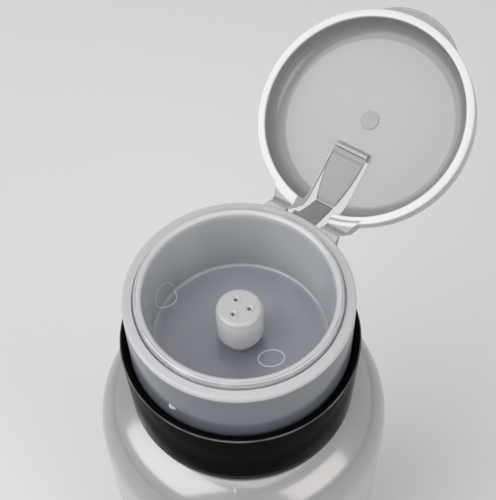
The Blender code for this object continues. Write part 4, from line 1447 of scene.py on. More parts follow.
    def outlines(self) -> dict[str, Corners]:
        """Return the outlines of the guide, seal, piston, stem, plug and gasket, by name.

        Returns:
            The corners of each outline.
        """
        s, edge = self.sizes, self.edge
        lip, bore = s.housing_bore - s.fit, s.stem_radius + s.fit
        rim, rim_low = s.housing_bore + self.guide_reach, s.flange_top + s.fit
        rim_top, guide_low = rim_low + self.guide_flange, rim_low - self.guide_length
        seal_top, seal_low = self.seal_top, self.seal_top - self.seal_height
        top, low = self.piston_top, self.piston_top - self.piston_height
        waist, short, long = lip - self.piston_waist, self.piston_lip, 2 * self.piston_lip
        pin, neck = self.plug_radius, self.piston_bore
        stem_low = top + self.slip + s.fit
        pocket = self.seat(self.outlet_z, self.outlet_ball, s.stem_bore)
        cup, cup_top = s.stem_top_radius - self.pocket_step, pocket + self.pocket_depth
        shoulder = s.dish_underside - s.fit
        head_top, head_low = low - s.fit, low - s.fit - self.plug_head
        tail, tail_low = self.spring_radius - self.wire - s.fit, head_low - self.spigot
        gasket, gasket_bore = s.neck_top + s.fit, s.housing_bore + self.housing_wall + s.fit
        return {
            "stem_guide_ring": [
                (rim, rim_top, edge), (rim, rim_low, edge), (lip, rim_low, 0), (lip, guide_low, edge),
                (bore, guide_low, edge), (bore, rim_top, edge)],
            "wiper_ring": [
                (lip, seal_top, edge), (lip, seal_low, edge), (bore, seal_low, edge), (bore, seal_top, edge)],
            "piston_seal": [
                (lip, top, edge), (lip, top - short, SMALL), (waist, top - long, MEDIUM),
                (waist, low + long, MEDIUM), (lip, low + short, SMALL), (lip, low, edge),
                (neck + s.fit, low, edge), (neck + s.fit, top, edge)],
            "hollow_stem": [
                (s.stem_top_radius, cup_top, edge), (s.stem_top_radius, shoulder, 0),
                (s.stem_radius, shoulder, edge), (s.stem_radius, stem_low, edge),
                (s.stem_bore, stem_low, edge), (s.stem_bore, pocket, 0), (cup, pocket, 0),
                (cup, cup_top, edge)],
            "plug_pin": [
                (0, stem_low + self.plug_length, 0), (pin, stem_low + self.plug_length, MEDIUM),
                (pin, stem_low - s.fit, 0), (neck, stem_low - s.fit, edge), (neck, head_top, 0),
                (self.plug_head_radius, head_top, MEDIUM), (self.plug_head_radius, head_low, MEDIUM),
                (tail, head_low, 0), (tail, tail_low, MEDIUM), (0, tail_low, 0)],
            "neck_liner": [
                (s.neck_radius, gasket + s.gasket, edge), (s.neck_radius, gasket, edge),
                (gasket_bore, gasket, edge), (gasket_bore, gasket + s.gasket, edge)]}

    def build(self) -> list[Object]:
        """Build and dress the pump's pieces.

        Returns:
            The dressed pieces.
        """
        rings = {name: turned(name, corners, AROUND_SMALL) for name, corners in self.outlines().items()}
        spring = dress(self.spring(), self.steel, Slot.STEEL, "pump", "return_spring")
        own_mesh(spring)
        return [
            dress(self.housing(), self.white, Slot.INNER, "pump", "pump_housing"),
            dress(rings["stem_guide_ring"], self.black, Slot.COLLAR, "pump", "stem_guide"),
            dress(rings["wiper_ring"], self.rubber, Slot.SEAL, "pump", "stem_seal"),
            dress(rings["neck_liner"], self.rubber, Slot.SEAL, "pump", "neck_gasket"),
            dress(rings["hollow_stem"], self.white, Slot.INNER, "stem", "piston_stem"),
            dress(rings["plug_pin"], self.white, Slot.INNER, "stem", "stem_plug"),
            dress(rings["piston_seal"], self.white, Slot.INNER, "piston", "piston"),
            dress(self.tube(), self.clear, Slot.TUBE, "pump", "dip_tube"),
            dress(self.cage(), self.white, Slot.INNER, "pump", "ball_cage"),
            dress(self.ball("inlet_check_ball", self.inlet_ball, self.inlet_z), self.steel, Slot.STEEL,
                  "inlet_valve", "inlet_ball"),
            dress(self.ball("outlet_check_ball", self.outlet_ball, self.outlet_z), self.steel, Slot.STEEL,
                  "outlet_valve", "outlet_ball"),
            spring]


@dataclass
class PressHead:
    """What the hand presses: outer cap with hinge tabs, dish with its lip, and nozzle."""

    sizes: Sizes
    cap_finish: Material
    dish_finish: Material
    nozzle_finish: Material
    ring_finish: Material
    skirt_bottom: float = 113.6 * MM
    tab_drop: float = 1.1 * MM
    tab_thickness: float = 0.9 * MM
    tab_root_depth: float = 4.2 * MM
    tab_flare: float = 0.7 * MM
    tab_rise: float = 0.6 * MM
    tab_gap: float = 0.15 * MM
    tab_depth: float = 3.0 * MM
    dish_wall: float = 1.1 * MM
    dish_flange: float = 1.0 * MM
    lip_wall: float = 1.6 * MM
    lip_height: float = 1.2 * MM
    lip_round: float = 0.7 * MM
    taper: float = 0.6 * MM
    fall: float = 0.4 * MM
    corner: float = 0.7 * MM
    nozzle_radius: float = 4.57 * MM
    nozzle_round: float = 1.0 * MM
    outlet_radius: float = 0.36 * MM
    outlet_circle: float = 1.9 * MM
    outlet_turn: float = math.radians(-95)
    outlet_rim: Pair = (0.82 * MM, 0.90 * MM)
    outlet_rise: float = 0.12 * MM
    dimple_radius: float = 0.68 * MM
    dimple_floor: float = 0.1 * MM
    mark_angle: float = math.radians(-89.4)
    mark_height: float = 121.8 * MM
    mark_size: float = 0.75 * MM
    mark_span: Pair = (-0.4 * MM, 0.24 * MM)
    witness_radius: float = 2.6 * MM
    witness_width: float = 0.28 * MM
    witness_rise: float = 0.05 * MM
    floor_ring_at: Pair = (7.64 * MM, -0.47 * MM)
    floor_ring_turn: float = math.radians(41)
    floor_ring_flatness: float = 0.72
    wall_ring_at: float = 2.1 * MM
    wall_ring_turn: float = math.radians(185.3)
    wall_ring_tilt: float = math.radians(30)
    wall_ring_shape: Pair = (1.54, 1.03)

    @property
    def floor_radius(self) -> float:
        """Radius of the dish's floor."""
        return self.sizes.lip_radius - self.lip_wall - self.taper

    def cap(self) -> Object:
        """Turn the ledge and skirt, and join the two hinge tabs.

        Returns:
            The cap.
        """
        s = self.sizes
        bore, ledge_low = s.head_radius - s.skirt_wall, s.rim - s.ledge
        item = turned("head_cap", [
            (s.head_radius, s.rim, FULL), (s.head_radius, self.skirt_bottom, MEDIUM),
            (bore, self.skirt_bottom, MEDIUM), (bore, ledge_low, SMALL),
            (s.lip_radius + s.fit, ledge_low, 0), (s.lip_radius + s.fit, s.rim, FINE)], 2 * AROUND)
        tip, root = s.head_radius + s.hinge_reach - self.tab_gap, bore - self.tab_depth
        high, tab_top, low = s.rim - self.tab_rise, s.rim - self.tab_drop, s.rim - self.tab_root_depth
        side = outline([
            (root, high, 0), (s.head_radius, high, MEDIUM), (tip, tab_top, SMALL),
            (tip, tab_top - self.tab_thickness, BROKEN), (s.head_radius, low, SOFT), (root, low, 0)])
        return add_ears(item, side, (s.ear_inner, s.ear_outer), self.tab_flare,
                        s.head_radius - s.skirt_wall / 2)

    def dish(self) -> Object:
        """Turn the dish, from its lip down the outer side and up the inner side.

        Returns:
            The dish.
        """
        s = self.sizes
        mouth, floor = s.lip_radius - self.lip_wall, self.floor_radius
        flange_top = s.rim - s.ledge - s.fit
        flange, flange_low = s.head_radius - s.skirt_wall - s.fit, flange_top - self.dish_flange
        lip_top, hole = s.rim + self.lip_height, s.stem_top_radius + s.fit
        return turned("dish_cup", [
            (s.lip_radius, lip_top, self.lip_round), (s.lip_radius, flange_top, HAIR),
            (flange, flange_top, HAIR), (flange, flange_low, MEDIUM),
            (mouth + self.dish_wall, flange_low, MEDIUM),
            (floor + self.dish_wall, s.dish_underside, self.corner + self.dish_wall),
            (hole, s.dish_underside, HAIR), (hole, s.dish_floor - self.fall, FINE),
            (floor, s.dish_floor, self.corner), (mouth, lip_top, self.lip_round)], 2 * AROUND)

    def floor_ring(self) -> Object:
        """Raise the witness ring on the dish's floor, as an oval on its slight cone.

        Returns:
            The ring.
        """
        s = self.sizes
        angle = full_turn(AROUND_SMALL)
        along = self.witness_radius * np.cos(angle)
        across = self.floor_ring_flatness * self.witness_radius * np.sin(angle)
        oval = np.array(Matrix.Rotation(self.floor_ring_turn, 2)) @ np.stack([along, across])
        x, y = (middle + part for middle, part in zip(self.floor_ring_at, oval))
        start = s.stem_top_radius + s.fit
        slope = self.fall / (self.floor_radius - start)
        path = np.stack([x, y, s.dish_floor - self.fall + slope * (np.hypot(x, y) - start)], 1)
        return ring_ridge("floor_witness_ring", path, np.tile((0.0, 0.0, 1.0), (len(path), 1)),
                          self.witness_width, self.witness_rise)

    def wall_ring(self) -> Object:
        """Raise the witness ring that runs over the dish's corner.

        It is a tilted oval on the unrolled surface: its height coordinate runs along the profile
        from the floor round the corner and up the wall, and its other one round the dish.

        Returns:
            The ring.
        """
        s, floor, reach = self.sizes, self.floor_radius, 0.1 * MM
        line = outline([(floor - 6 * MM, s.dish_floor - 0.15 * MM, 0), (floor, s.dish_floor, self.corner),
                        (floor + self.taper, s.rim, 0)], closed=False)
        length = np.concatenate(([0], np.cumsum(np.linalg.norm(np.diff(line, axis=0), axis=1))))

        def at(place: np.ndarray) -> np.ndarray:
            """Return the profile's radius and height at a length along it."""
            return np.stack([np.interp(place, length, line[:, axis]) for axis in (0, 1)], 1)

        angle = full_turn(AROUND_SMALL)
        high, wide = self.wall_ring_shape
        oval = np.stack([high * np.cos(angle), wide * np.sin(angle)])
        up, beside = np.array(Matrix.Rotation(self.wall_ring_tilt, 2)) @ oval * self.witness_radius
        place = np.interp(floor - 2 * reach, line[:, 0], length) + self.wall_ring_at + up
        along = at(place + reach) - at(place - reach)
        along /= np.linalg.norm(along, axis=1, keepdims=True)
        turn = self.wall_ring_turn + beside / floor
        path = polar(at(place)[:, 0], turn, at(place)[:, 1])
        return ring_ridge("wall_witness_ring", path, polar(-along[:, 1], turn, along[:, 0]),
                          self.witness_width, self.witness_rise)

    def index_mark(self) -> Object:
        """Raise the small wedge on the skirt that shows how far the head is turned.

        Returns:
            The mark.
        """
        s = self.sizes
        size = self.mark_size
        wedge = outline([(-size, -size, HAIR), (size, 0, HAIR), (-size, size, HAIR)])
        item = extrude("lock_index", wedge, *self.mark_span)
        turn = Matrix(((0, 0, 1), (1, 0, 0), (0, 1, 0))).to_4x4()
        place = Matrix.Translation((s.head_radius, 0, self.mark_height))
        item.data.transform(Matrix.Rotation(self.mark_angle, 4, "Z") @ place @ turn)
        return item

    def nozzle(self) -> Object:
        """Turn the nozzle and drill its three outlets, each with a small dimple and a raised rim.

        Returns:
            The nozzle.
        """
        s = self.sizes
        top, bore, ceiling = s.nozzle_top, s.stem_top_radius + s.fit, s.nozzle_top - s.nozzle_top_wall
        item = turned("nozzle_body", [
            (0, top, 0), (self.nozzle_radius, top, self.nozzle_round),
            (self.nozzle_radius, s.nozzle_bottom, ROUND), (bore, s.nozzle_bottom, FINE),
            (bore, ceiling, SMALL), (0, ceiling, 0)])
        (inner, outer), high, low = self.outlet_rim, top + self.outlet_rise, top - self.dimple_floor
        rim = [(0, high, 0), (inner, high, HAIR), (outer, low, 0), (0, low, 0)]
        drill = [
            (0, top + OVERRUN, 0), (self.dimple_radius, top + OVERRUN, 0),
            (self.dimple_radius, top + self.dimple_floor, 0),
            (self.outlet_radius, top - self.outlet_rise, HAIR), (self.outlet_radius, ceiling - OVERRUN, 0),
            (0, ceiling - OVERRUN, 0)]
        for index in range(3):
            angle = self.outlet_turn + TAU * index / 3
            shift = Matrix.Translation(polar(self.outlet_circle, angle, 0))
            for name, corners, how in (("rim", rim, Carve.ADD), ("drill", drill, Carve.CUT)):
                tool = turned(name, corners, AROUND_HOLE)
                tool.data.transform(shift)
                carve(item, tool, how)
        return item

    def build(self) -> list[Object]:
        """Build and dress the head's pieces.

        Returns:
            The dressed pieces.
        """
        return [
            dress(self.cap(), self.cap_finish, Slot.HEAD, "head", "press_head"),
            dress(self.dish(), self.dish_finish, Slot.DISH, "head", "press_dish"),
            dress(self.nozzle(), self.nozzle_finish, Slot.NOZZLE, "head", "nozzle_cap"),
            dress(self.floor_ring(), self.ring_finish, Slot.DISH, "head"),
            dress(self.wall_ring(), self.ring_finish, Slot.DISH, "head"),
            dress(self.index_mark(), self.ring_finish, Slot.HEAD, "head")]


def add_ears(item: Object, side: np.ndarray, span: Pair, flare: float,
             core: float) -> Object:
    """Join two mirrored ears to a round shell.

    Args:
        item: the shell.
        side: the ear's outline, as y and z.
        span: where the inner and outer faces of the right ear are along X.
        flare: how much wider the ear is at its root than at its tip.
        core: the radius inside which the ear is cut away.

    Returns:
        The shell with its ears.
    """
    root, tip = side[:, 0].min(), side[:, 0].max()
    low, high = side[:, 1].min() - OVERRUN, side[:, 1].max() + OVERRUN
    inner, outer = span
    plan = np.array([(inner, tip + OVERRUN), (outer, tip + OVERRUN), (outer, tip), (outer + flare, root),
                     (outer + flare, root - OVERRUN), (inner, root - OVERRUN)])
    cylinder = [(0, high, 0), (core, high, 0), (core, low, 0), (0, low, 0)]
    for hand in (1, -1):
        ear = extrude("ear", side, *sorted((0.0, hand * (outer + 2 * flare))), "X")
        carve(ear, extrude("ear_plan", plan * (hand, 1), low, high), Carve.KEEP)
        carve(ear, turned("ear_core", cylinder), Carve.CUT)
        carve(item, ear, Carve.ADD)
    return item


def tab_arc(head_radius: float, reach: float, half_width: float) -> Pair:
    """Return the radius and the centre's y of the arc that outlines the thumb tab.

    Args:
        head_radius: the lid's outer radius.
        reach: how far the tab stands out of the lid.
        half_width: half its width where it leaves the lid.

    Returns:
        The arc's radius, and where its centre is along Y.
    """
    rise = head_radius + reach - math.sqrt(head_radius ** 2 - half_width ** 2)
    radius = (half_width ** 2 + rise ** 2) / (2 * rise)
    return radius, radius - head_radius - reach


@dataclass
class FlipLid:
    """Lid, shaped shut: round-cornered cap, thumb tab, slot, strap boss, ears and gate mark."""

    sizes: Sizes
    finish: Material
    seat_gap: float = 0.3 * MM
    height: float = 7.1 * MM
    top_wall: float = 1.3 * MM
    corner: float = 3.2 * MM
    inner_corner: float = 3.1 * MM
    tab_reach: float = 2.3 * MM
    tab_half_width: float = 10.5 * MM
    tab_thickness: float = 1.2 * MM
    tab_height: float = 3.6 * MM
    tab_round: float = 0.35 * MM
    slot_half_width: float = 4.05 * MM
    slot_end: float = 7.45 * MM
    boss_face: float = 7.2 * MM
    boss_length: float = 1.4 * MM
    boss_height: float = 1.5 * MM
    boss_width: float = 7.3 * MM
    boss_ramp: float = 0.55
    ear_flare: float = 2.6 * MM
    ear_height: float = 3.8 * MM
    ear_drop: float = 0.8 * MM
    ear_depth: float = 3.0 * MM
    ear_half_tip: float = 0.15 * MM
    ear_room: float = 0.02 * MM
    gate_radius: float = 1.95 * MM
    gate_sunk: float = 0.4 * MM
    gate_rise: Pair = (0.13 * MM, 0.11 * MM)
    gate_round: float = 0.14 * MM
    gate_y: float = -0.5 * MM
    gate_tilt: float = math.radians(3.5)

    @property
    def seat(self) -> float:
        """Height of the shut lid's rim."""
        return self.sizes.rim + self.seat_gap

    @property
    def panel(self) -> float:
        """Height of the shut lid's inner face."""
        return self.seat + self.height - self.top_wall

    def cap(self) -> Object:
        """Turn the cap and join the crescent that the thumb lifts.

        Returns:
            The cap with its tab.
        """
        s = self.sizes
        top = self.seat + self.height
        item = turned("lid_cap", [
            (0, top, 0), (s.head_radius, top, self.corner), (s.head_radius, self.seat, MEDIUM),
            (s.lid_bore, self.seat, MEDIUM), (s.lid_bore, self.panel, self.inner_corner),
            (0, self.panel, 0)], 2 * AROUND)
        radius, centre = tab_arc(s.head_radius, self.tab_reach, self.tab_half_width)
        low = s.rim + self.tab_height
        high = low + self.tab_thickness
        tab = turned("tab", [(0, high, 0), (radius, high, self.tab_round), (radius, low, self.tab_round),
                             (0, low, 0)], 2 * AROUND)
        tab.data.transform(Matrix.Translation((0, centre, 0)))
        core = s.head_radius - s.lid_rim_wall / 2
        carve(tab, turned("core", [(0, high + OVERRUN, 0), (core, high + OVERRUN, 0),
                                   (core, low - OVERRUN, 0), (0, low - OVERRUN, 0)]), Carve.CUT)
        return carve(item, tab, Carve.ADD)

    def build(self) -> list[Object]:
        """Build the lid and its gate mark, turn them open and dress them.

        Returns:
            The dressed pieces.
        """
        s = self.sizes
        item = self.cap()
        end, across, beyond = self.slot_end, self.slot_half_width, s.head_radius + OVERRUN * 2
        slot = outline([
            (-across, end, ROUND), (across, end, ROUND), (across, beyond, 0), (-across, beyond, 0)])
        carve(item, extrude("slot", slot, s.rim - OVERRUN, self.seat + self.height + OVERRUN), Carve.CUT)
        face, back = self.boss_face, self.boss_face - self.boss_length
        low, sunk = self.panel - self.boss_height, self.panel + self.top_wall / 2
        boss = outline([
            (back, sunk, 0), (back, self.panel, 0), (face - self.boss_ramp * self.boss_length, low, BROKEN),
            (face, low, SMALL), (face, sunk, 0)])
        carve(item, extrude("boss", boss, -self.boss_width / 2, self.boss_width / 2, "X"), Carve.ADD)
        tip, half, edge = s.head_radius + s.hinge_reach, self.ear_half_tip, 0.2 * MM
        low, high, root = s.rim - self.ear_drop, s.rim + self.ear_height, s.lid_bore - self.ear_depth
        ear = outline([
            (root, self.seat, 0), (s.head_radius + edge, self.seat, edge), (tip - half, low, 0),
            (tip + half, low, 0), (tip + half, low + 2 * half, HAIR), (s.head_radius, high, SOFT),
            (root, high, 0)])
        add_ears(item, ear, (s.ear_inner + self.ear_room, s.ear_outer), self.ear_flare,
                 s.head_radius - s.lid_rim_wall / 2)
        rise, crown = self.gate_rise
        gate = turned("lid_gate", [
            (0, self.gate_sunk, 0), (self.gate_radius, self.gate_sunk, 0),
            (self.gate_radius, -rise, self.gate_round), (0, -crown, 0)], AROUND_SMALL)
        gate.data.transform(Matrix.Translation((0, self.gate_y, self.panel))
                            @ Matrix.Rotation(self.gate_tilt, 4, "Y"))
        for piece in (item, gate):
            turn_open(piece, s.hinge, -s.lid_opening)
        return [dress(item, self.finish, Slot.LID, "lid", "flip_lid"),
                dress(gate, self.finish, Slot.LID, "lid")]


@dataclass
class SnapStrap:
    """Snap strap between head and lid, and the two film hinges at the ears."""

    sizes: Sizes
    finish: Material
    film: Material
    thickness: float = 0.7 * MM
    root: Pair = (22.75 * MM, 130.6 * MM)
    waist_shut: Pair = (18.8 * MM, 137.4 * MM)
    lid_end_shut: Pair = (7.5 * MM, 136.8 * MM)
    root_width: float = 5.3 * MM
    waist_width: float = 4.1 * MM
    lid_width: float = 7.3 * MM
    sag: float = 0.9 * MM
    waist_room: float = 0.14 * MM
    waist_thinning: float = 0.40
    lower_stations: int = 40
    upper_stations: int = 56
    film_stations: int = 25
    root_film_stations: int = 21
    fold_share: float = 6.0
    root_share: float = 0.05
    tail_share: float = 0.02
    step_share: Pair = (0.06, 0.05)
    step_film: float = 0.45
    plate_fold_share: float = 9.0
    film_thickness: float = 0.28 * MM
    film_room: float = 0.3 * MM
    film_sag: float = 0.12 * MM
    film_start: Pair = (-0.6 * MM, -1.55 * MM)
    film_end: Pair = (-0.1 * MM, -0.3 * MM)
    film_bend: Pair = (0.4, 0.65)
    root_film_thickness: float = 0.36 * MM
    root_film_start: Pair = (-0.6 * MM, -0.75 * MM)
    root_film_end: Pair = (0.55 * MM, -0.34 * MM)

    def opened(self, point: Pair) -> np.ndarray:
        """Turn a (y, z) point of the shut lid open about the hinge.

        Args:
            point: the point's y and z.

        Returns:
            The same point of the open lid.
        """
        angle = -self.sizes.lid_opening
        turn = np.array(((math.cos(angle), -math.sin(angle)), (math.sin(angle), math.cos(angle))))
        pivot = self.sizes.hinge[1:]
        return pivot + turn @ (np.array(point) - pivot)

    def run(self, start: np.ndarray, end: np.ndarray, tail: float,
            stations: int) -> tuple[np.ndarray, np.ndarray]:
        """Return the shares along a link, which ends just short of the waist, and the points there.

        Args:
            start: the link's far end.
            end: the waist.
            tail: the share that the link starts at.
            stations: how many points.

        Returns:
            The shares and the points.
        """
        share = np.linspace(tail, 1 - self.waist_room / np.linalg.norm(end - start), stations)
        return share, start + share[:, None] * (end - start)

    def lower(self) -> Object:
        """Carry the lower link from its root to the waist: a sagging line, thin at both folds.

        At a share t of its length it sags by 4 sag sqrt(t) (1 - sqrt(t)), and its width goes from
        the root's to the waist's with (1 - t)^2.

        Returns:
            The lower link.
        """
        start, end = np.array(self.root), self.opened(self.waist_shut)
        share, line = self.run(start, end, 0, self.lower_stations)
        along = (end - start) / np.linalg.norm(end - start)
        normal = np.array((-along[1], along[0]))
        bend = np.sqrt(share)
        line = line - (4 * self.sag * bend * (1 - bend))[:, None] * normal
        widths = self.waist_width + (self.root_width - self.waist_width) * (1 - share) ** 2
        fold = ease(np.minimum(share + self.root_share, 1 - share) * self.fold_share)
        thin = self.waist_thinning
        return band("strap_lower_link", line, widths, self.thickness * (thin + (1 - thin) * fold))

    def upper(self) -> Object:
        """Carry the upper link from the boss to the waist: a film, a step up, and a flat plate.

        At a share t of its length, its width goes from the lid's to the waist's with 1 - t^2.

        Returns:
            The upper link.
        """
        start, end = self.opened(self.lid_end_shut), self.opened(self.waist_shut)
        share, line = self.run(start, end, -self.tail_share, self.upper_stations)
        widths = self.waist_width + (self.lid_width - self.waist_width) * (1 - np.clip(share, 0, 1) ** 2)
        step_at, step_length = self.step_share
        film = self.step_film + (1 - self.step_film) * ease((share - step_at) / step_length)
        thin = self.waist_thinning
        thickness = self.thickness * film * (thin + (1 - thin) * ease((1 - share) * self.plate_fold_share))
        return band("strap_upper_link", line, widths, thickness)

    def films(self) -> list[Object]:
        """Make the two thin hinges that bend between the head's tabs and the lid's ears.

        Returns:
            The right film and the left one.
        """
        s = self.sizes
        made = []
        edge = np.array((s.hinge[1], s.rim))
        start, end = edge + self.film_start, self.opened(edge + self.film_end)
        share = np.linspace(0, 1, self.film_stations)
        line = start + share[:, None] * (end - start)
        line[:, 1] -= self.film_sag * np.sin(math.pi * share)
        first, last = (line[0] * (1 - bend) + line[-1] * bend for bend in self.film_bend)
        widths = np.full(self.film_stations, s.ear_outer - s.ear_inner - self.film_room)
        thickness = np.full(self.film_stations, self.film_thickness)
        for hand, name in ((1, "hinge_film_right"), (-1, "hinge_film_left")):
            item = band(name, line, widths, thickness)
            item.data.transform(Matrix.Translation((hand * (s.ear_outer + s.ear_inner) / 2, 0, 0)))
            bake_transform(item)
            made.append(dress(item, self.film, Slot.STRAP, ""))
        return made

    def root_film(self) -> Object:
        """Make the film that joins the lower link to the head's ledge.

        Returns:
            The film.
        """
        s = self.sizes
        start = np.array((s.head_radius, s.rim)) + self.root_film_start
        end = np.array(self.root) + self.root_film_end
        count = self.root_film_stations
        line = start + np.linspace(0, 1, count)[:, None] * (end - start)
        item = band("strap_root_film", line, np.full(count, self.root_width),
                    np.full(count, self.root_film_thickness))
        s.head_radius + 0.1 * MM
        s.rim - 0.8 * MM
        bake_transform(item)
        return dress(item, self.finish, Slot.STRAP, "")

    def build(self) -> list[Object]:
        """Build and dress the strap's pieces.

        Returns:
            The dressed pieces.
        """
        return [dress(self.lower(), self.finish, Slot.STRAP, "lower_link", "strap_lower"),
                dress(self.upper(), self.finish, Slot.STRAP, "upper_link", "strap_upper"),
                *self.films(), self.root_film()]


# ---- Studio ----


@dataclass(frozen=True)
class Softbox:
    """A rectangular lamp that faces a point on the bottle's axis."""

    name: str
    azimuth: float
    elevation: float
    distance: float
    width: float
    height: float
    radiance: float
    tint: Colour = (1.0, 1.0, 1.0)

    def build(self, aim: Vector) -> Object:
        """Hang the lamp; its power is radiance x pi x area.

        Args:
            aim: the point that it faces.

        Returns:
            The lamp.
        """
        lamp = bpy.data.lights.new(self.name, "AREA")
        lamp.shape = "RECTANGLE"
        lamp.size, lamp.size_y = self.width, self.height
        lamp.energy = self.radiance * math.pi * self.width * self.height
        lamp.color = self.tint
        item = placed(self.name, lamp)
        azimuth, elevation = math.radians(self.azimuth), math.radians(self.elevation)
        away = Vector((math.cos(elevation) * math.cos(azimuth), math.cos(elevation) * math.sin(azimuth),
                       math.sin(elevation)))
        item.location = aim + away * self.distance
        item.rotation_euler = away.to_track_quat("Z", "Y").to_euler()
        return item


@dataclass
class Studio:
    """Pale floor, soft lamps, even surroundings, and the camera at the photograph's angle."""

    aim: Vector = field(default_factory=lambda: Vector((0, 0, 0.11)))
    floor_size: float = 3.0
    floor_height: float = -0.2 * MM
    floor_colour: Colour = (0.80, 0.80, 0.80)
    floor_shade: float = 0.985
    floor_grain: float = 30.0 * MM
    floor_roughness: float = 0.7
    floor_specular: float = 0.2
    surround: float = 0.35
    background: Colour = (0.85, 0.85, 0.855)
    lens: float = 77.07
    sensor: float = 36.0
    clip: Pair = (0.01, 20.0)
    camera_at: tuple[float, float, float] = (0.065764, -0.088016, 0.298617)
    camera_rows: tuple[Colour, Colour, Colour] = (
        (0.82445521, 0.5656945, -0.01622764),
        (-0.4517867, 0.67517116, 0.58312321),
        (0.34082603, -0.47342753, 0.81222164))
    lamps: tuple[Softbox, ...] = (
        Softbox("softbox_left", -120, 42, 0.62, 0.66, 0.60, 2.4, (1.0, 0.98, 0.965)),
        Softbox("softbox_right", -4, 25, 0.62, 0.46, 0.46, 2.0, (1.0, 0.92, 0.88)),
        Softbox("softbox_top", 0, 88, 0.70, 0.55, 0.55, 1.2))

    def floor(self) -> Object:
        """Lay the pale floor.

        Returns:
            The floor.
        """
        spread = np.linspace(-self.floor_size / 2, self.floor_size / 2, 3)
        x, y = np.meshgrid(spread, spread, indexing="ij")
        points = np.stack([x, y, np.full_like(x, self.floor_height)], -1).reshape(-1, 3)
        mesh = bpy.data.meshes.new("floor")
        mesh.from_pydata(points.tolist(), [], [list(face)[::-1] for face in grid_faces(3, 3, False, False)])
        item = placed("floor", mesh)
        made = bpy.data.materials.new("pale_floor")
        graph = Graph(made)
        grain = graph.noise(graph.place(), self.floor_grain, 3.0, 0.6)
        shade = tuple(self.floor_shade * part for part in self.floor_colour)
        graph.finish(graph.principled({
            "Base Color": graph.mix(grain, rgba(self.floor_colour), rgba(shade)),
            "Roughness": self.floor_roughness, "Specular IOR Level": self.floor_specular}))
        mesh.materials.append(made)
        return item

    def world(self) -> None:
        """Set even surroundings, paler where the camera, gloss and clear plastic look at them."""
        scene = bpy.context.scene
        scene.world = bpy.data.worlds.new("surroundings")
        graph = Graph(scene.world)
        seen = graph.node("ShaderNodeLightPath", output="Is Camera Ray")
        for ray in ("Is Glossy Ray", "Is Transmission Ray"):
            seen = seen.at_least(graph.node("ShaderNodeLightPath", output=ray))
        lit = rgba((self.surround, self.surround, self.surround))
        colour = graph.mix(seen, lit, rgba(self.background))
        shade = graph.node("ShaderNodeBackground", None, {"Color": colour, "Strength": 1.0})
        graph.node("ShaderNodeOutputWorld", None, {"Surface": shade})

    def camera(self) -> Object:
        """Set the camera from its place, its three axes and its lens.

        Returns:
            The camera.
        """
        data = bpy.data.cameras.new("camera")
        data.lens, data.sensor_width = self.lens, self.sensor
        data.clip_start, data.clip_end = self.clip
        item = placed("camera", data)
        turn = Matrix(self.camera_rows).transposed().to_4x4()
        item.matrix_world = Matrix.Translation(self.camera_at) @ turn
        bpy.context.scene.camera = item
        return item

    def build(self) -> None:
        """Build the studio."""
        self.floor()
        self.world()
        for lamp in self.lamps:
            lamp.build(self.aim)
        self.camera()
        bpy.context.scene.view_settings.view_transform = "Standard"


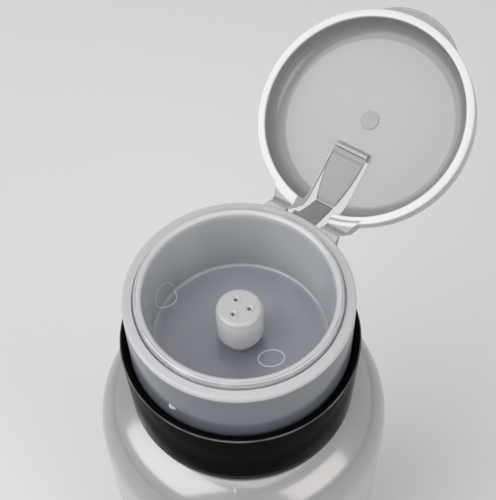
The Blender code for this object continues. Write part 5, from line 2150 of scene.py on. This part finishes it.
def make_finishes(sizes: Sizes) -> dict[str, Material]:
    """Build every finish.

    Args:
        sizes: the shared sizes, which place the finishes' edges.

    Returns:
        The materials, by name.
    """
    finishes = (
        Moulded("bottle_plastic", (0.42, 0.425, 0.44), (0.38, 0.385, 0.40), roughness=0.38, transmission=0.50,
                specular=0.9, coat=1.0, coat_roughness=0.16, coat_ior=2.1, cloud_size=14 * MM),
        # The cap's ledge carries a whiter painted glow above the rim less 1.4 mm.
        EdgeLit("cap_plastic", (0.27, 0.31, 0.365), (0.24, 0.275, 0.325), roughness=0.24, transmission=0.58,
                specular=0.3, coat=0.12, coat_roughness=0.11, painted_edge_light_and_shade=(0.72, 0.73, 0.75),
                edge_transmission=0.30, edge_height=sizes.rim - 1.4 * MM, edge_blend=0.6 * MM),
        # The dish's lip and corner line carry painted glow; its floor and lip grooves carry painted shade.
        EdgeLit("dish_plastic", (0.82, 0.87, 0.91), (0.78, 0.83, 0.87), roughness=0.22, transmission=0.60,
                coat=0.6, coat_roughness=0.09, painted_edge_light_and_shade=(0.85, 0.86, 0.88), edge_transmission=0.42,
                edge_height=sizes.rim - 0.6 * MM, floor_colour=(0.315, 0.32, 0.395),
                corner_radius=sizes.lip_radius - PressHead.lip_wall - PressHead.taper,
                corner_height=sizes.dish_floor,
                groove_radii=(sizes.lip_radius - 0.12 * MM, sizes.lip_radius - 0.52 * MM)),
        # The nozzle's top 1 mm is painted darker grey: painted shade.
        EdgeLit("nozzle_plastic", (0.95, 0.95, 0.96), (0.92, 0.92, 0.93), roughness=0.30, transmission=0.05,
                coat=0.5, subsurface=0.5, subsurface_depth=1.0 * MM, painted_edge_light_and_shade=(0.52, 0.53, 0.54),
                edge_transmission=0.05, edge_height=sizes.nozzle_top - 1.0 * MM, edge_blend=0.5 * MM),
        Moulded("ring_plastic", (0.68, 0.69, 0.72), (0.62, 0.63, 0.66), roughness=0.25, transmission=0.1),
        # The lid carries painted glow at its edges and painted shade in its side wall.
        LidPlastic("lid_plastic", (0.50, 0.495, 0.50), (0.475, 0.47, 0.475), roughness=0.24,
                   transmission=0.45, coat=0.3, coat_roughness=0.06, opening=sizes.lid_opening,
                   pivot=tuple(sizes.hinge),
                   seat=sizes.rim + FlipLid.seat_gap, painted_edge_light_and_shade=(0.69, 0.69, 0.69),
                   painted_wall_shade=(0.32, 0.32, 0.335), head_radius=sizes.head_radius,
                   slot_half_width=FlipLid.slot_half_width, slot_end=FlipLid.slot_end,
                   tab=tab_arc(sizes.head_radius, FlipLid.tab_reach, FlipLid.tab_half_width)),
        Moulded("strap_plastic", (0.37, 0.375, 0.39), (0.31, 0.315, 0.33), roughness=0.22, transmission=0.30,
                coat=0.2, coat_roughness=0.05),
        Moulded("pump_plastic", (0.84, 0.84, 0.83), (0.80, 0.80, 0.79), roughness=0.4, transmission=0.08,
                coat=0.2),
        Moulded("tube_plastic", (0.84, 0.85, 0.86), (0.80, 0.81, 0.82), roughness=0.25, transmission=0.6,
                coat=0.3),
        # The collar carries a painted highlight on its upper edge and a painted reflection on its foot.
        GlossBlack("collar_gloss", edge_height=sizes.collar_top - HAIR, foot_height=sizes.collar_bottom,
                   edge_radius=sizes.head_radius + ScrewCollar.clearance + ScrewCollar.wall - HAIR),
        Rubber("seal_elastomer"),
        Steel("spring_wire"))
    return {finish.name: finish.material() for finish in finishes}


def main() -> None:
    """Build every sub-assembly in order and report its pieces."""
    logging.basicConfig(level=logging.INFO, format="%(message)s")
    sizes = Sizes()
    finishes = make_finishes(sizes)
    assemblies = [
        BottleShell(sizes, finishes["bottle_plastic"]),
        ScrewCollar(sizes, finishes["collar_gloss"]),
        PumpEngine(sizes, finishes["pump_plastic"], finishes["collar_gloss"], finishes["seal_elastomer"],
                   finishes["spring_wire"], finishes["tube_plastic"]),
        PressHead(sizes, finishes["cap_plastic"], finishes["dish_plastic"], finishes["nozzle_plastic"],
                  finishes["ring_plastic"]),
        FlipLid(sizes, finishes["lid_plastic"]),
        SnapStrap(sizes, finishes["strap_plastic"], finishes["lid_plastic"])]
    for assembly in assemblies:
        pieces = assembly.build()
        LOG.info("%s: %d pieces", type(assembly).__name__, len(pieces))
    Studio().build()


if __name__ == "__main__":
    main()
